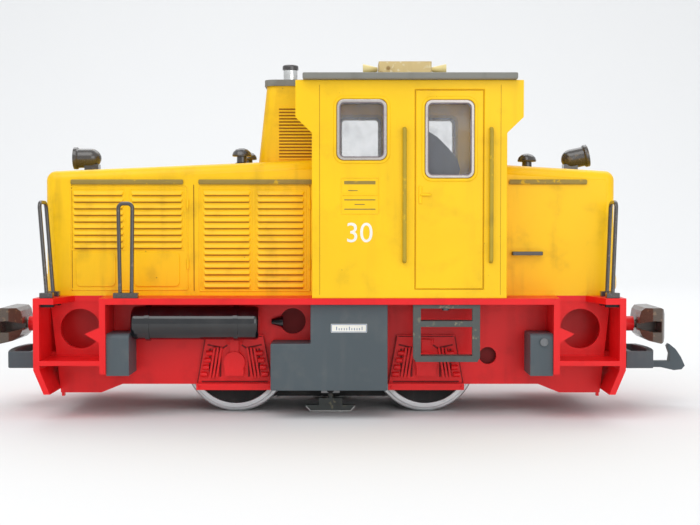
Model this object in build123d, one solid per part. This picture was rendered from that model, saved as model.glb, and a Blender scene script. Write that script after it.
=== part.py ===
from build123d import *
import os

# Model diesel locomotive for 45 mm gauge track, millimetres, +Z up.
# X runs along the locomotive: the long hood points to -X (front), the short hood to +X (rear).
# Z = 0 is the lowest point of the wheel flanges, X = 0 is midway between the axles.

# ---- running gear
track_gauge = 45.0
wheelbase = 89.0
flange_radius = 24.5
tread_radius = 22.3
flange_width = 2.0
tyre_width = 4.6
gauge_play = 1.3
tyre_wall = 2.3
axle_radius = 2.0
bush_radius = 3.6
bush_clearance = 0.05
bush_length = 4.0
worm_wheel_radius = 8.0
worm_radius = 3.4
worm_gap = 0.3
worm_length = 13.0
motor_radius = 9.5
motor_length = 40.0
shaft_radius = 1.1

# ---- motor block
block_length = 124.0
block_width = 33.0
block_bottom = 6.4
block_top = 49.0
block_wall = 2.2
plate_thickness = 2.0

# ---- frame
frame_length = 266.6
frame_width = 105.0
deck_top = 55.4
deck_thickness = 2.8
beam_thickness = 2.8
beam_bottom = 12.0
beam_slant_z = 23.0
beam_slant_in = 4.6
side_plane = 30.5
side_thickness = 2.4
side_end_bottom = 10.0
side_mid_bottom = 14.0
side_slant_from_end = 26.3
side_slant_run = 10.0
gusset_from_end = 31.1
gusset_width = 2.8
gusset_bottom = 21.2
step_top = 27.2
step_thickness = 2.2
end_hole_from_end = 16.7
end_hole_z = 39.9
end_hole_radius = 9.3
notch_from_end = 14.3
fuel_pipe_hole = (-17.5, 43.5, 6.0)
ladder_hole = (73.5, 27.3, 4.0)
pivot_screw_hole = 0.9
mould_tab_drop = 1.6

# ---- bodywork
hood_half_width = 31.0
hood_end_gap = 0.8
hood_end_top = 113.2
hood_cab_top = 118.6
hood_rear_top = 116.4
hood_wall = 1.8
hood_radius = 4.5
seam_z = (57.5, 107.0)
cab_front_x = -7.9
cab_rear_x = 79.6
cab_from_edge = 0.5
cab_top = 153.2
cab_wall = 2.0
roof_front_overhang = 4.0
roof_rear_overhang = 4.3
roof_overhang = 3.6
roof_edge_thickness = 2.9
roof_crown = 3.2
wing_reach = 7.3
wing_low = 136.6
wing_foot = 129.6
wing_thickness = 1.8
piece_gap = 0.05

# ---- windows (x range, z range, corner radius) in the cab side
side_window = (3.2, 25.7, 117.3, 144.6)
door_window = (42.7, 64.9, 109.3, 144.3)
window_radius = 3.4
end_window_inner = 6.0
front_window_inner = 22.0
end_window_outer = 43.0
end_window_low = 123.0
end_window_high = 146.0
window_frame_width = 1.7
window_frame_stand = 0.5
door_edges = (38.2, 69.3, 59.3, 149.0)
groove_width = 0.5
groove_depth = 0.35

# ---- exhaust tower on the long hood
tower_front_low = -34.6
tower_front_high = -30.4
tower_half_width = 17.5
tower_top = 154.0
tower_cap_thickness = 2.9
tower_louvres = 17
tower_louvre_pitch = 1.5
tower_louvre_x = -24.6
stack_x = -19.8
stack_radius = 3.4
stack_top = 163.4
rain_cap_radius = 3.9
rain_cap_height = 2.4

# ---- lamps, vents, rails
lamp_z = 120.6
lamp_radius = 5.4
lamp_length = 13.2
lamp_face_setback = 7.1
lamp_body_radius = 4.7
lamp_rim = 1.6
lamp_wall = 0.9
lamp_tilt = {-1: 0.0, 1: 12.0}
marker_y = 22.5
marker_z = 61.5
marker_radius = 3.6
marker_reach = 1.8
vent_radius = 4.6
vent_stem_radius = 2.5
vent_height = 6.0
front_vent_x = -42.1
front_vent_y = 18.0
rear_vent_x = 95.6
wire_radius = 0.9
rail_from_edge = 3.5
hairpin_x = -92.0
hairpin_half = 2.6
hairpin_top = 98.0
corner_rail_from_end = 5.5
corner_rail_top = 98.6
corner_rail_inner_y = 36.5
corner_rail_lean = {-1: -3.0, 1: 1.4}
base_height = 2.4
grab_z = (71.1, 132.3)
grab_x = (33.6, 72.4)
grab_stand = 2.6
drip_z = 108.2
drip_height = 2.3
drip_reach = 1.1
drip_spans = ((-120.4, -68.2), (-61.1, -8.5), (82.9, 119.2))
bar_x = (84.2, 98.6)
bar_z = 75.1

# ---- tanks, boxes, steps under the deck
tank_from_edge = 3.0
fuel_span = (-8.7, 26.2)
fuel_foot_x = -26.8
fuel_bottom = 13.4
fuel_step_top = 34.7
air_tank_span = (-90.4, -32.4)
air_tank_radius = 7.6
air_tank_from_edge = 11.0
air_tank_z = 43.5
strap_x = (-82.9, -42.8)
strap_width = 2.0
strap_thickness = 0.5
battery_length = 10.2
battery_low = 20.3
battery_high = 39.3
ladder_span = (37.6, 67.8)
ladder_bottom = 26.7
ladder_rail = 3.5
ladder_depth = 2.6
tread_depth = 8.0
tread_z = (26.7, 42.5)
tread_height = 2.6
cover_depth = 5.0
cover_half = 17.6
cover_foot_z = 11.8
cover_ribs = 3
spring_turns = 4
spring_pitch = 3.3
spring_lean = 0.26

# ---- couplers, buffers and current pickups
pivot_from_end = 12.3
pivot_radius = 2.0
pivot_gap = 0.08
pivot_box_half = 14.0
loop_back_reach = 7.7
loop_half_width = 19.0
loop_length = 12.6
loop_bow = 2.6
loop_wall = 2.6
loop_low = 20.0
loop_high = 28.0
drawbar_half = 4.0
drawbar_low = 21.4
drawbar_high = 25.4
slot_half = 9.0
hook_pin_reach = 12.9
hook_pin_radius = 1.2
hook_half_width = 2.2
hook_gap = 0.35
hook_arm_low = 18.5
hook_arm_high = 21.5
hook_end_reach = 39.9
hook_tip_z = 30.0
buffer_reach = 27.1
buffer_z = 39.8
buffer_boss_radius = 3.6
buffer_boss_length = 14.6
buffer_shaft_radius = 2.1
buffer_height = 17.2
buffer_width = 30.0
buffer_depth = 11.4
buffer_web = 4.0
shoe_from_rail = 1.7
shoe_half_length = 11.6
shoe_width = 3.4
shoe_low = 0.2
shoe_travel = 2.0
shoe_post = (11.4, 2.6)

# ---- inside pieces
floor_top = 79.4
floor_legs = (4.0, 66.0)
desk_x = (48.0, 72.0)
desk_half_width = 18.0
lever_place = (40.0, -24.0)
lever_height = 46.0
weight_x = (-60.0, -18.0)
board_x = (12.0, 58.0)
plate_screw_x = 27.0
plate_screw_y = 10.0
box_screw = (96.6, 35.6)
roof_unit_x = (22.6, 47.4)
roof_unit_y = (-26.0, -8.0)
roof_unit_height = 5.2

axle_z = flange_radius
axle_x = wheelbase / 2
side_inner = side_plane - side_thickness
deck_bottom = deck_top - deck_thickness
frame_half = frame_length / 2
deck_half = frame_width / 2
wheel_back = track_gauge / 2 - gauge_play - flange_width / 2
gusset_x = frame_half - gusset_from_end
end_hole_x = frame_half - end_hole_from_end
notch_start = frame_half - notch_from_end
side_slant_out = frame_half - side_slant_from_end
side_slant_in = side_slant_out - side_slant_run
hood_end_x = frame_half - hood_end_gap
lamp_face_x = hood_end_x - lamp_face_setback
corner_rail_x = frame_half - corner_rail_from_end
pivot_x = frame_half - pivot_from_end
loop_back_x = frame_half + loop_back_reach
loop_front_x = loop_back_x + loop_length
hook_pin_x = frame_half + hook_pin_reach
hook_end_x = frame_half + hook_end_reach
hook_pin_z = (hook_arm_low + hook_arm_high) / 2 + 1.0
buffer_face_x = frame_half + buffer_reach
rail_y = deck_half - rail_from_edge
tank_outer = deck_half - tank_from_edge
cab_half_width = deck_half - cab_from_edge
roof_half_width = cab_half_width + roof_overhang
air_tank_y = deck_half - air_tank_from_edge
roof_front_x = cab_front_x - roof_front_overhang
roof_rear_x = cab_rear_x + roof_rear_overhang
shoe_y = track_gauge / 2 + shoe_from_rail
os.makedirs("parts", exist_ok=True)


def block(x0, x1, y0, y1, z0, z1):
    """A box between two corners."""
    size = (abs(x1 - x0), abs(y1 - y0), abs(z1 - z0))
    return Pos((x0 + x1) / 2, (y0 + y1) / 2, (z0 + z1) / 2) * Box(*size)


def rod_x(radius, x0, x1, y, z):
    """A round rod along X."""
    return Pos((x0 + x1) / 2, y, z) * (Rot(0, 90, 0) * Cylinder(radius, abs(x1 - x0)))


def rod_y(radius, y0, y1, x, z):
    """A round rod along Y."""
    return Pos(x, (y0 + y1) / 2, z) * (Rot(90, 0, 0) * Cylinder(radius, abs(y1 - y0)))


def rod_z(radius, z0, z1, x, y):
    """A round rod along Z."""
    return Pos(x, y, (z0 + z1) / 2) * Cylinder(radius, abs(z1 - z0))


def side_profile(points, y0, y1):
    """A closed outline in the XZ plane given as (x, z) points, extruded from y0 to y1."""
    outline = make_face(Polyline(*[(x, y0, z) for x, z in points], close=True))
    return Solid.extrude(outline.face(), Vector(0, y1 - y0, 0))


def rounded_slab_y(x0, x1, z0, z1, y0, y1, radius):
    """A slab with four round corners, seen from the side."""
    plane = Plane(origin=((x0 + x1) / 2, y0, (z0 + z1) / 2), x_dir=(1, 0, 0), z_dir=(0, 1, 0))
    return extrude(plane * RectangleRounded(abs(x1 - x0), abs(z1 - z0), radius), y1 - y0)


def rounded_slab_x(y0, y1, z0, z1, x0, x1, radius):
    """A slab with four round corners, seen from the end."""
    plane = Plane(origin=(x0, (y0 + y1) / 2, (z0 + z1) / 2), x_dir=(0, 1, 0), z_dir=(1, 0, 0))
    return extrude(plane * RectangleRounded(abs(y1 - y0), abs(z1 - z0), radius), x1 - x0)


def other_side(shape):
    """The same piece on the other long side."""
    return shape.mirror(Plane.XZ)


def other_end(shape):
    """The same piece at the other end."""
    return shape.mirror(Plane.YZ)


def both_sides(shape):
    return [shape, other_side(shape)]


def write(name, *shapes):
    """Write every solid of the shapes to one STEP file."""
    solids = [solid for shape in shapes for solid in shape.solids()]
    export_step(Compound(children=solids) if len(solids) > 1 else solids[0], f"parts/{name}.step")


# ---- frame: deck, end beams, side frames, gussets, steps, coupler pivot plates
def make_frame():
    frame = block(-frame_half, frame_half, -deck_half, deck_half, deck_bottom, deck_top)
    block_x = block_length / 2 + 1.0
    block_y = block_width / 2 + 1.0
    frame -= block(-block_x, block_x, -block_y, block_y, deck_bottom, deck_top)
    notch = Polyline((gusset_x + gusset_width / 2, -deck_half, deck_bottom),
                     (gusset_x + gusset_width, -hood_half_width, deck_bottom),
                     (notch_start, -hood_half_width, deck_bottom),
                     (notch_start + 5.0, -deck_half, deck_bottom), close=True)
    cut = Solid.extrude(make_face(notch).face(), Vector(0, 0, deck_thickness))
    for piece in (cut, other_side(cut), other_end(cut), other_side(other_end(cut))):
        frame -= piece
    outline = [(-frame_half + beam_thickness, deck_bottom),
               (-frame_half + beam_slant_in + beam_thickness, side_end_bottom),
               (-side_slant_out, side_end_bottom), (-side_slant_in, side_mid_bottom),
               (side_slant_in, side_mid_bottom), (side_slant_out, side_end_bottom),
               (frame_half - beam_slant_in - beam_thickness, side_end_bottom),
               (frame_half - beam_thickness, deck_bottom)]
    side = side_profile(outline, -side_plane, -side_inner)
    end_holes = [(sign * end_hole_x, end_hole_z, end_hole_radius) for sign in (-1, 1)]
    for x, z, radius in (*end_holes, fuel_pipe_hole, ladder_hole):
        side -= rod_y(radius, -side_plane - 1, -side_inner + 1, x, z)
    frame += side + other_side(side)
    inner = frame_half - beam_thickness
    beam = side_profile([(frame_half, deck_top), (frame_half, beam_slant_z),
                         (frame_half - beam_slant_in, beam_bottom),
                         (inner - beam_slant_in, beam_bottom), (inner, beam_slant_z), (inner, deck_top)],
                        -deck_half, deck_half)
    beam -= block(inner - 3, frame_half + 1, -slot_half, slot_half, loop_low - 1.5, loop_high + 1.5)
    gusset_in = gusset_x - gusset_width / 2
    gusset_out = gusset_x + gusset_width / 2
    corner = block(gusset_in, gusset_out, -deck_half, -side_inner, gusset_bottom, deck_bottom)
    corner += side_profile([(gusset_out, 42.2), (gusset_out + 6.5, 39.4), (gusset_out, 35.4)],
                           -deck_half, -deck_half + 2.4)
    corner += block(gusset_out, inner, -deck_half, -side_inner, step_top - step_thickness, step_top)
    plate_low = drawbar_high + 1.0
    pivot_plate = block(gusset_out, inner, -side_inner, side_inner, plate_low, plate_low + 2.5)
    pivot_plate += rod_z(pivot_radius, drawbar_low - 1.0, plate_low, pivot_x, 0)
    pivot_plate += block(gusset_out + 2.0, inner, -pivot_box_half, pivot_box_half, plate_low, deck_bottom)
    pivot_plate -= rod_z(pivot_screw_hole, drawbar_low - 1.0, plate_low + 2.5, pivot_x, 0)
    boss = rod_x(buffer_boss_radius, inner, frame_half + buffer_boss_length, 0, buffer_z)
    tab_x = inner - beam_slant_in - 1.0
    tab = block(tab_x - 0.6, tab_x + 0.6, -side_plane, -side_inner,
                side_end_bottom - mould_tab_drop, side_end_bottom)
    end = beam + corner + other_side(corner) + tab + other_side(tab) + pivot_plate + boss
    return frame + end + other_end(end)


# ---- axlebox covers with the moulded springs, one over each wheel
def make_cover():
    centre = -axle_x
    face = -side_plane - cover_depth
    back = -side_plane - 1.8
    top_half = cover_half - 4.2
    top_z = side_inner + 9.0
    x0 = centre - cover_half
    x1 = centre + cover_half
    cover = side_profile([(x0, 13.0), (x1, 13.0), (centre + top_half, top_z), (centre - top_half, top_z)],
                         back, -side_plane)
    cover += block(x0, x1, face, -side_plane, cover_foot_z, cover_foot_z + 3.0)
    cover += block(centre - 4.4, centre + 4.4, face, back, 18.4, axle_z)
    cover += rod_y(5.0, face, back, centre, axle_z)
    cover += block(centre - 2.0, centre + 2.0, face + 1.2, back, axle_z, 35.0)
    for sign in (-1, 1):
        for step in range(cover_ribs):
            foot = centre + sign * (8.2 + 1.6 * step)
            head = foot - sign * 2.2
            cover += side_profile([(foot - 0.45, 17.4), (foot + 0.45, 17.4), (head + 0.45, 31.4),
                                   (head - 0.45, 31.4)], face + 1.4, back)
        for turn in range(spring_turns):
            rise = spring_pitch * turn
            x = centre + sign * (14.2 - spring_lean * rise)
            cover += rod_x(1.15, x - 1.5, x + 1.5, -side_plane - 2.6, 18.8 + rise)
    return cover


# ---- tanks, boxes and ladders hung under the deck
def make_fuel_tank():
    tank = block(fuel_span[0], fuel_span[1], -tank_outer, -side_plane, fuel_bottom, deck_bottom)
    return tank + block(fuel_foot_x, fuel_span[0], -tank_outer, -side_plane, fuel_bottom, fuel_step_top)


def make_air_tank():
    tank = rod_x(air_tank_radius, air_tank_span[0], air_tank_span[1], -air_tank_y, air_tank_z)
    rims = tank.edges().filter_by(GeomType.CIRCLE)
    return fillet(rims, 1.8)


def make_straps():
    bands = []
    for x in strap_x:
        outer = air_tank_radius + piece_gap + strap_thickness
        band = rod_x(outer, x - strap_width / 2, x + strap_width / 2, -air_tank_y, air_tank_z)
        band += block(x - strap_width / 2, x + strap_width / 2, -air_tank_y, -side_plane,
                      air_tank_z - 2.0, air_tank_z + 2.0)
        band -= rod_x(air_tank_radius + piece_gap, x - strap_width, x + strap_width, -air_tank_y, air_tank_z)
        bands.append(band)
    return bands


def make_battery_box():
    x0 = gusset_x - gusset_width / 2 - piece_gap
    box = block(x0 - battery_length, x0, -deck_half + 1.6, -side_plane, battery_low, battery_high)
    return fillet(box.edges().filter_by(Axis.X).sort_by(Axis.Z)[-2:], 2.4)


def make_ladder():
    face = -deck_half + 1.0
    back = face + ladder_depth
    x0, x1 = ladder_span
    ladder = rounded_slab_y(x0, x1, ladder_bottom, deck_bottom + 3.0, face, back, 2.6)
    ladder -= block(x0 + ladder_rail, x1 - ladder_rail, face - 1, back + 1,
                    ladder_bottom + tread_height, deck_bottom - 1.8)
    ladder -= block(x0 - 1, x1 + 1, face - 1, back + 1, deck_bottom, deck_bottom + 4)
    for z in tread_z:
        ladder += block(x0 + 1.0, x1 - 1.0, face, face + tread_depth, z, z + tread_height)
    return ladder + block(x0 + 1.0, x1 - 1.0, face, -side_plane, deck_bottom - 1.8, deck_bottom)


# ---- motor block, motor and wheelsets
shaft_z = axle_z + worm_wheel_radius + worm_radius + worm_gap
cavity_low = block_bottom + plate_thickness


def make_motor_block():
    half_x = block_length / 2
    half_y = block_width / 2
    body = block(-half_x, half_x, -half_y, half_y, cavity_low, block_top)
    body -= block(-half_x + block_wall, half_x - block_wall, -half_y + block_wall, half_y - block_wall,
                  cavity_low, block_top - block_wall)
    for x in (-axle_x, axle_x):
        seat = block(x - 5.5, x + 5.5, half_y - block_wall, half_y - bush_length, cavity_low, axle_z + 6)
        body += seat
        body += other_side(seat)
        body -= rod_y(bush_radius, -half_y - 1, half_y + 1, x, axle_z)
    for x in (-motor_length / 2 - 3.2, motor_length / 2 + 1.2):
        bulkhead = block(x, x + 2.0, -half_y + block_wall, half_y - block_wall,
                         cavity_low, block_top - block_wall)
        bulkhead -= rod_x(shaft_radius + bush_clearance, x - 1, x + 3, 0, shaft_z)
        body += bulkhead
    return body


def make_plate():
    half_x = block_length / 2
    half_y = block_width / 2
    plate = block(-half_x, half_x, -half_y, half_y, block_bottom, cavity_low)
    for guide in both_sides(make_shoe_guide()):
        plate += guide
    return plate


def make_bushes():
    bushes = []
    for x in (-axle_x, axle_x):
        for sign in (-1, 1):
            y0 = sign * (block_width / 2 - bush_length)
            y1 = sign * block_width / 2
            bore = rod_y(axle_radius + bush_clearance, y0 - sign, y1 + sign, x, axle_z)
            bushes.append(rod_y(bush_radius, y0, y1, x, axle_z) - bore)
    return bushes


def make_wheel(x):
    """The wheel on the -Y side: flange inside, tread outside, a dished centre."""
    back = -wheel_back
    front = back - flange_width - tyre_width
    wheel = rod_y(flange_radius, back - flange_width, back, x, axle_z)
    wheel = chamfer(wheel.edges().filter_by(GeomType.CIRCLE), 0.5)
    wheel += rod_y(tread_radius, front, back, x, axle_z)
    wheel -= rod_y(tread_radius - tyre_wall, front - 1, front + 2.6, x, axle_z)
    wheel += rod_y(4.5, front + 0.8, back, x, axle_z)
    wheel -= rod_y(axle_radius, front - 1, back + 1, x, axle_z)
    return wheel


def make_worm_wheel(x):
    teeth = 16
    gear = rod_y(worm_wheel_radius - 2.0, -2.5, 2.5, x, axle_z)
    tooth = Polyline((-1.0, -2.5, 0), (1.0, -2.5, 0), (0.4, -2.5, 2.4), (-0.4, -2.5, 2.4), close=True)
    prism = Solid.extrude(make_face(tooth).face(), Vector(0, 5.0, 0))
    for index in range(teeth):
        turned = Rot(0, 360 / teeth * index, 0) * (Pos(0, 0, worm_wheel_radius - 2.4) * prism)
        gear += Pos(x, 0, axle_z) * turned
    return gear - rod_y(axle_radius, -3, 3, x, axle_z)


def make_axle(x):
    half = wheel_back + flange_width + tyre_width - 0.8
    return rod_y(axle_radius, -half, half, x, axle_z)


def make_worm(x):
    worm = rod_x(worm_radius - 1.0, x - worm_length / 2, x + worm_length / 2, 0, shaft_z)
    for index in range(5):
        start = x - worm_length / 2 + 1.0 + 2.4 * index
        ring = Pos(start, 0, shaft_z) * (Rot(0, 90, 8.0) * Cylinder(worm_radius, 0.9))
        worm += ring & block(x - worm_length / 2, x + worm_length / 2, -5, 5, shaft_z - 5, shaft_z + 5)
    return worm - rod_x(shaft_radius, x - worm_length, x + worm_length, 0, shaft_z)


# ---- bodywork: hoods, exhaust tower, cab, roof
def hood_solid(end_x, cab_x, top_end, top_cab, half, radius):
    """A hood block with a sloping top, the near edges rounded."""
    outline = [(end_x, deck_top), (cab_x, deck_top), (cab_x, top_cab), (end_x, top_end)]
    solid = side_profile(outline, -half, half)
    if not radius:
        return solid
    top = [e for e in solid.edges() if e.center().Z > top_end - 1 and abs(e.center().X - cab_x) > 1]
    upright = [e for e in solid.edges().filter_by(Axis.Z) if abs(e.center().X - end_x) < 1]
    return fillet(top + upright, radius)


def make_long_hood():
    cab_x = cab_front_x - piece_gap
    hood = hood_solid(-hood_end_x, cab_x, hood_end_top, hood_cab_top, hood_half_width, hood_radius)
    inner_x = -hood_end_x + hood_wall
    hood -= side_profile([(inner_x, deck_top), (cab_x + 1, deck_top), (cab_x + 1, hood_cab_top - hood_wall),
                          (inner_x, hood_end_top - hood_wall)],
                         -hood_half_width + hood_wall, hood_half_width - hood_wall)
    seam_x = (drip_spans[0][1] + drip_spans[1][0]) / 2 + 1.0
    for x in (drip_spans[0][0], seam_x, cab_front_x - 1.7):
        for sign in (-1, 1):
            face = sign * hood_half_width
            hood -= block(x, x + groove_width, face - groove_depth,
                          face + groove_depth, *seam_z)
    return hood


def make_short_hood():
    cab_x = cab_rear_x + piece_gap
    hood = hood_solid(hood_end_x, cab_x, hood_end_top, hood_rear_top, hood_half_width, hood_radius)
    inner_x = hood_end_x - hood_wall
    inner = side_profile([(inner_x, deck_top), (cab_x - 1, deck_top), (cab_x - 1, hood_rear_top - hood_wall),
                          (inner_x, hood_end_top - hood_wall)],
                         -hood_half_width + hood_wall, hood_half_width - hood_wall)
    return hood - inner


def hood_top_at(x):
    """Height of the hood's top surface at x."""
    if x < 0:
        share = (x + hood_end_x) / (hood_end_x + cab_front_x)
        return hood_end_top + (hood_cab_top - hood_end_top) * share
    share = (hood_end_x - x) / (hood_end_x - cab_rear_x)
    return hood_end_top + (hood_rear_top - hood_end_top) * share


def make_tower():
    low = hood_top_at(tower_front_low) + 0.3
    back = cab_front_x - piece_gap
    tower = side_profile([(tower_front_low, low - 2.0), (back, low - 2.0), (back, tower_top),
                          (tower_front_high, tower_top)], -tower_half_width, tower_half_width)
    uprights = [e for e in tower.edges() if e.center().X < tower_front_high - 1 and abs(e.center().Y) > 5]
    tower = fillet([e for e in uprights if e.length > 20], 5.0)
    tower -= hood_solid(-hood_end_x, back, hood_end_top, hood_cab_top, hood_half_width, 0)
    tower -= block(roof_front_x - 0.3, back + 1, -roof_half_width, roof_half_width, cab_top, tower_top + 1)
    for sign in (-1, 1):
        for index in range(tower_louvres):
            z = low + 1.6 + tower_louvre_pitch * index
            tower += block(tower_louvre_x, back, sign * tower_half_width,
                           sign * (tower_half_width + 0.6), z, z + 0.7)
    return tower


def make_tower_cap():
    z0 = tower_top + piece_gap
    cap = block(tower_front_high - 1.0, roof_front_x - 0.3, -tower_half_width - 0.8,
                tower_half_width + 0.8, z0, z0 + tower_cap_thickness)
    front = [e for e in cap.edges().filter_by(Axis.Z) if e.center().X < tower_front_high]
    cap = fillet(front, 5.6)
    return cap - rod_z(stack_radius, z0 - 1, z0 + 5, stack_x, 0)


def make_stack():
    low = tower_top + piece_gap
    bore = rod_z(stack_radius - 0.8, low + 2, stack_top + 1, stack_x, 0)
    return rod_z(stack_radius, low, stack_top, stack_x, 0) - bore


def make_rain_cap():
    cap = Pos(stack_x, 0, stack_top + rain_cap_height / 2) * Cylinder(rain_cap_radius, rain_cap_height)
    cap = fillet(cap.edges().sort_by(Axis.Z)[-1:], 1.0)
    return cap


def window_cuts(y0, y1):
    return [rounded_slab_y(*window, y0, y1, window_radius) for window in (side_window, door_window)]


def end_window_span(sign):
    return sorted((sign * end_window_inner, sign * end_window_outer))


def make_cab():
    cab = block(cab_front_x, cab_rear_x, -cab_half_width, cab_half_width, deck_top, cab_top)
    cab -= block(cab_front_x + cab_wall, cab_rear_x - cab_wall, -cab_half_width + cab_wall,
                 cab_half_width - cab_wall, deck_top, cab_top)
    for cut in window_cuts(-cab_half_width - 1, -cab_half_width + cab_wall + 1):
        cab -= cut
        cab -= other_side(cut)
    for x in (cab_front_x, cab_rear_x - cab_wall):
        low = end_window_low if x > 0 else end_window_low + 2
        for sign in (-1, 1):
            y0, y1 = end_window_span(sign)
            if x < 0:
                y0, y1 = sorted((sign * front_window_inner, sign * end_window_outer))
            cab -= rounded_slab_x(y0, y1, low, end_window_high, x - 1, x + cab_wall + 1, window_radius)
    hole_low = (deck_top + 2.0, hood_end_top - 4.0)
    for x in (cab_front_x, cab_rear_x):
        cab -= block(x - 3, x + 3, -hood_half_width + 3, hood_half_width - 3, *hole_low)
    x0, x1, z0, z1 = door_edges
    face = -cab_half_width
    door = block(x0, x1, face, face + groove_depth, z0, z1)
    door -= block(x0 + groove_width, x1 - groove_width, face - 1, face + 1,
                  z0 + groove_width, z1 - groove_width)
    cab -= door
    cab -= other_side(door)
    wing = side_profile([(cab_front_x, wing_foot), (cab_front_x - wing_reach, wing_low),
                         (cab_front_x - wing_reach, cab_top), (cab_front_x, cab_top)],
                        -cab_half_width, -cab_half_width + wing_thickness)
    rear = wing.mirror(Plane(origin=((cab_front_x + cab_rear_x) / 2, 0, 0), z_dir=(1, 0, 0)))
    for piece in (wing, rear):
        cab += piece
        cab += other_side(piece)
    return cab


def make_roof():
    z0 = cab_top + piece_gap
    z1 = z0 + roof_edge_thickness
    arch = ThreePointArc((0, roof_half_width, z1), (0, 0, z1 + roof_crown), (0, -roof_half_width, z1))
    sides = Polyline((0, -roof_half_width, z1), (0, -roof_half_width, z0), (0, roof_half_width, z0),
                     (0, roof_half_width, z1))
    face = make_face(Curve() + [arch, sides]).face()
    roof = Pos(roof_front_x, 0, 0) * Solid.extrude(face, Vector(roof_rear_x - roof_front_x, 0, 0))
    ledge = block(cab_front_x + cab_wall + 0.3, cab_rear_x - cab_wall - 0.3, -cab_half_width + cab_wall + 0.3,
                  cab_half_width - cab_wall - 0.3, z0 - 2.0, z0)
    ledge -= block(cab_front_x + 4, cab_rear_x - 4, -cab_half_width + 4, cab_half_width - 4,
                   z0 - 3, z0)
    return roof + ledge


def make_frames():
    """Silver window surrounds standing a little proud of the cab sides."""
    rings = []
    for x0, x1, z0, z1 in (side_window, door_window):
        face = -cab_half_width
        ring = rounded_slab_y(x0 + 0.1, x1 - 0.1, z0 + 0.1, z1 - 0.1, face - window_frame_stand,
                              face + cab_wall, window_radius - 0.1)
        inner = window_frame_width
        ring -= rounded_slab_y(x0 + inner, x1 - inner, z0 + inner, z1 - inner, face - 2,
                               face + cab_wall + 1, window_radius - inner + 0.4)
        rings.append(ring)
    return rings


def make_panes():
    panes = []
    for x0, x1, z0, z1 in (side_window, door_window):
        face = -cab_half_width + cab_wall + piece_gap
        panes.append(rounded_slab_y(x0 - 1.2, x1 + 1.2, z0 - 1.2, z1 + 1.2, face, face + 1.0,
                                    window_radius))
    return panes


def make_end_panes(x, inner):
    panes = []
    low = end_window_low - 1 if x > 0 else end_window_low + 1
    for sign in (-1, 1):
        y0, y1 = sorted((sign * inner, sign * end_window_outer))
        panes.append(rounded_slab_x(y0 - 1.0, y1 + 1.0, low, end_window_high + 1.0, x, x + 1.0,
                                    window_radius))
    return panes


# ---- lamps, vents, rails and small fittings
def aimed(shape, sign):
    """A lamp piece, modelled looking along +X from the origin, put on its hood and tilted."""
    turned = Rot(0, -lamp_tilt[sign], 0) * (Pos(lamp_length / 2, 0, 0) * shape)
    placed = Pos(lamp_face_x - lamp_length / 2, 0, lamp_z) * turned
    return placed if sign > 0 else other_end(placed)


def make_lamp(sign):
    """A bullet-shaped headlight on a foot: domed back, straight body, flared rim, open at its face."""
    back = -lamp_length
    dome = ThreePointArc((back, 0, 0), (back + 1.4, 0, 3.2), (back + 4.6, 0, lamp_body_radius))
    shell = Polyline((back + 4.6, 0, lamp_body_radius), (-lamp_rim - 0.8, 0, lamp_body_radius),
                     (-lamp_rim, 0, lamp_radius), (0, 0, lamp_radius), (0, 0, lamp_radius - lamp_wall),
                     (-2.6, 0, lamp_radius - lamp_wall - 1.2), (-2.6, 0, 0), (back, 0, 0))
    body = revolve(make_face(Curve() + [dome, shell]), Axis.X)
    foot_x = sign * (lamp_face_x - lamp_length + 4.4)
    foot = block(foot_x - 3.4, foot_x + 3.4, -3.0, 3.0, hood_end_top - 3.0, lamp_z - 3.0)
    cab_x, cab_z = (cab_front_x, hood_cab_top) if sign < 0 else (cab_rear_x, hood_rear_top)
    lamp = aimed(body, sign) + foot
    return lamp - hood_solid(sign * hood_end_x, cab_x, hood_end_top, cab_z, hood_half_width, 0)


def make_lens(sign):
    radius = lamp_radius - lamp_wall - 0.8
    return aimed(rod_x(radius, -1.5, -0.5, 0, 0), sign)


def make_markers(sign):
    face = sign * (hood_end_x + marker_reach)
    back = sign * (hood_end_x + piece_gap)
    return [rod_x(marker_radius, face, back, y, marker_z) for y in (-marker_y, marker_y)]


def make_vent(x, y):
    base = hood_top_at(x) - 0.1
    if abs(y) > 20:
        base -= 0.5
    stem = rod_z(vent_stem_radius, base + 0.35, base + 4.0, x, y)
    cap = rod_z(vent_radius, base + 3.2, base + vent_height, x, y)
    return stem + fillet(cap.edges().sort_by(Axis.Z)[-1:], 1.8)


def wire(points, bend):
    """A bent round wire along the points."""
    path = FilletPolyline(*points, radius=bend)
    start = Plane(origin=path @ 0, z_dir=path % 0)
    return sweep(start * Circle(wire_radius), path=path)


def make_hairpin():
    low = deck_top + base_height - 0.6
    left = hairpin_x - hairpin_half
    right = hairpin_x + hairpin_half
    pin = wire([(left, -rail_y, low), (left - 0.6, -rail_y, hairpin_top),
                (right + 0.6, -rail_y, hairpin_top), (right, -rail_y, low)], 2.2)
    return pin + block(hairpin_x - 5.6, hairpin_x + 5.6, -rail_y - 1.8, -rail_y + 1.8,
                       deck_top, deck_top + base_height)


def make_corner_rail(sign):
    x = corner_rail_x * sign
    low = deck_top + base_height - 0.6
    lean = corner_rail_lean[sign]
    rail = wire([(x, -rail_y, low), (x + lean, -rail_y, corner_rail_top),
                 (x + lean, -corner_rail_inner_y, corner_rail_top), (x, -corner_rail_inner_y, low)], 3.0)
    for y in (-rail_y, -corner_rail_inner_y):
        rail += block(x - 3.0, x + 3.0, y - 1.8, y + 1.8, deck_top, deck_top + base_height)
    return rail


def make_grab(x):
    face = -cab_half_width
    out = face - grab_stand + wire_radius
    rail = wire([(x, face - piece_gap, grab_z[0] + 1), (x, out, grab_z[0] + 1), (x, out, grab_z[1] - 1),
                 (x, face - piece_gap, grab_z[1] - 1)], 0.95)
    return rail


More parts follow.
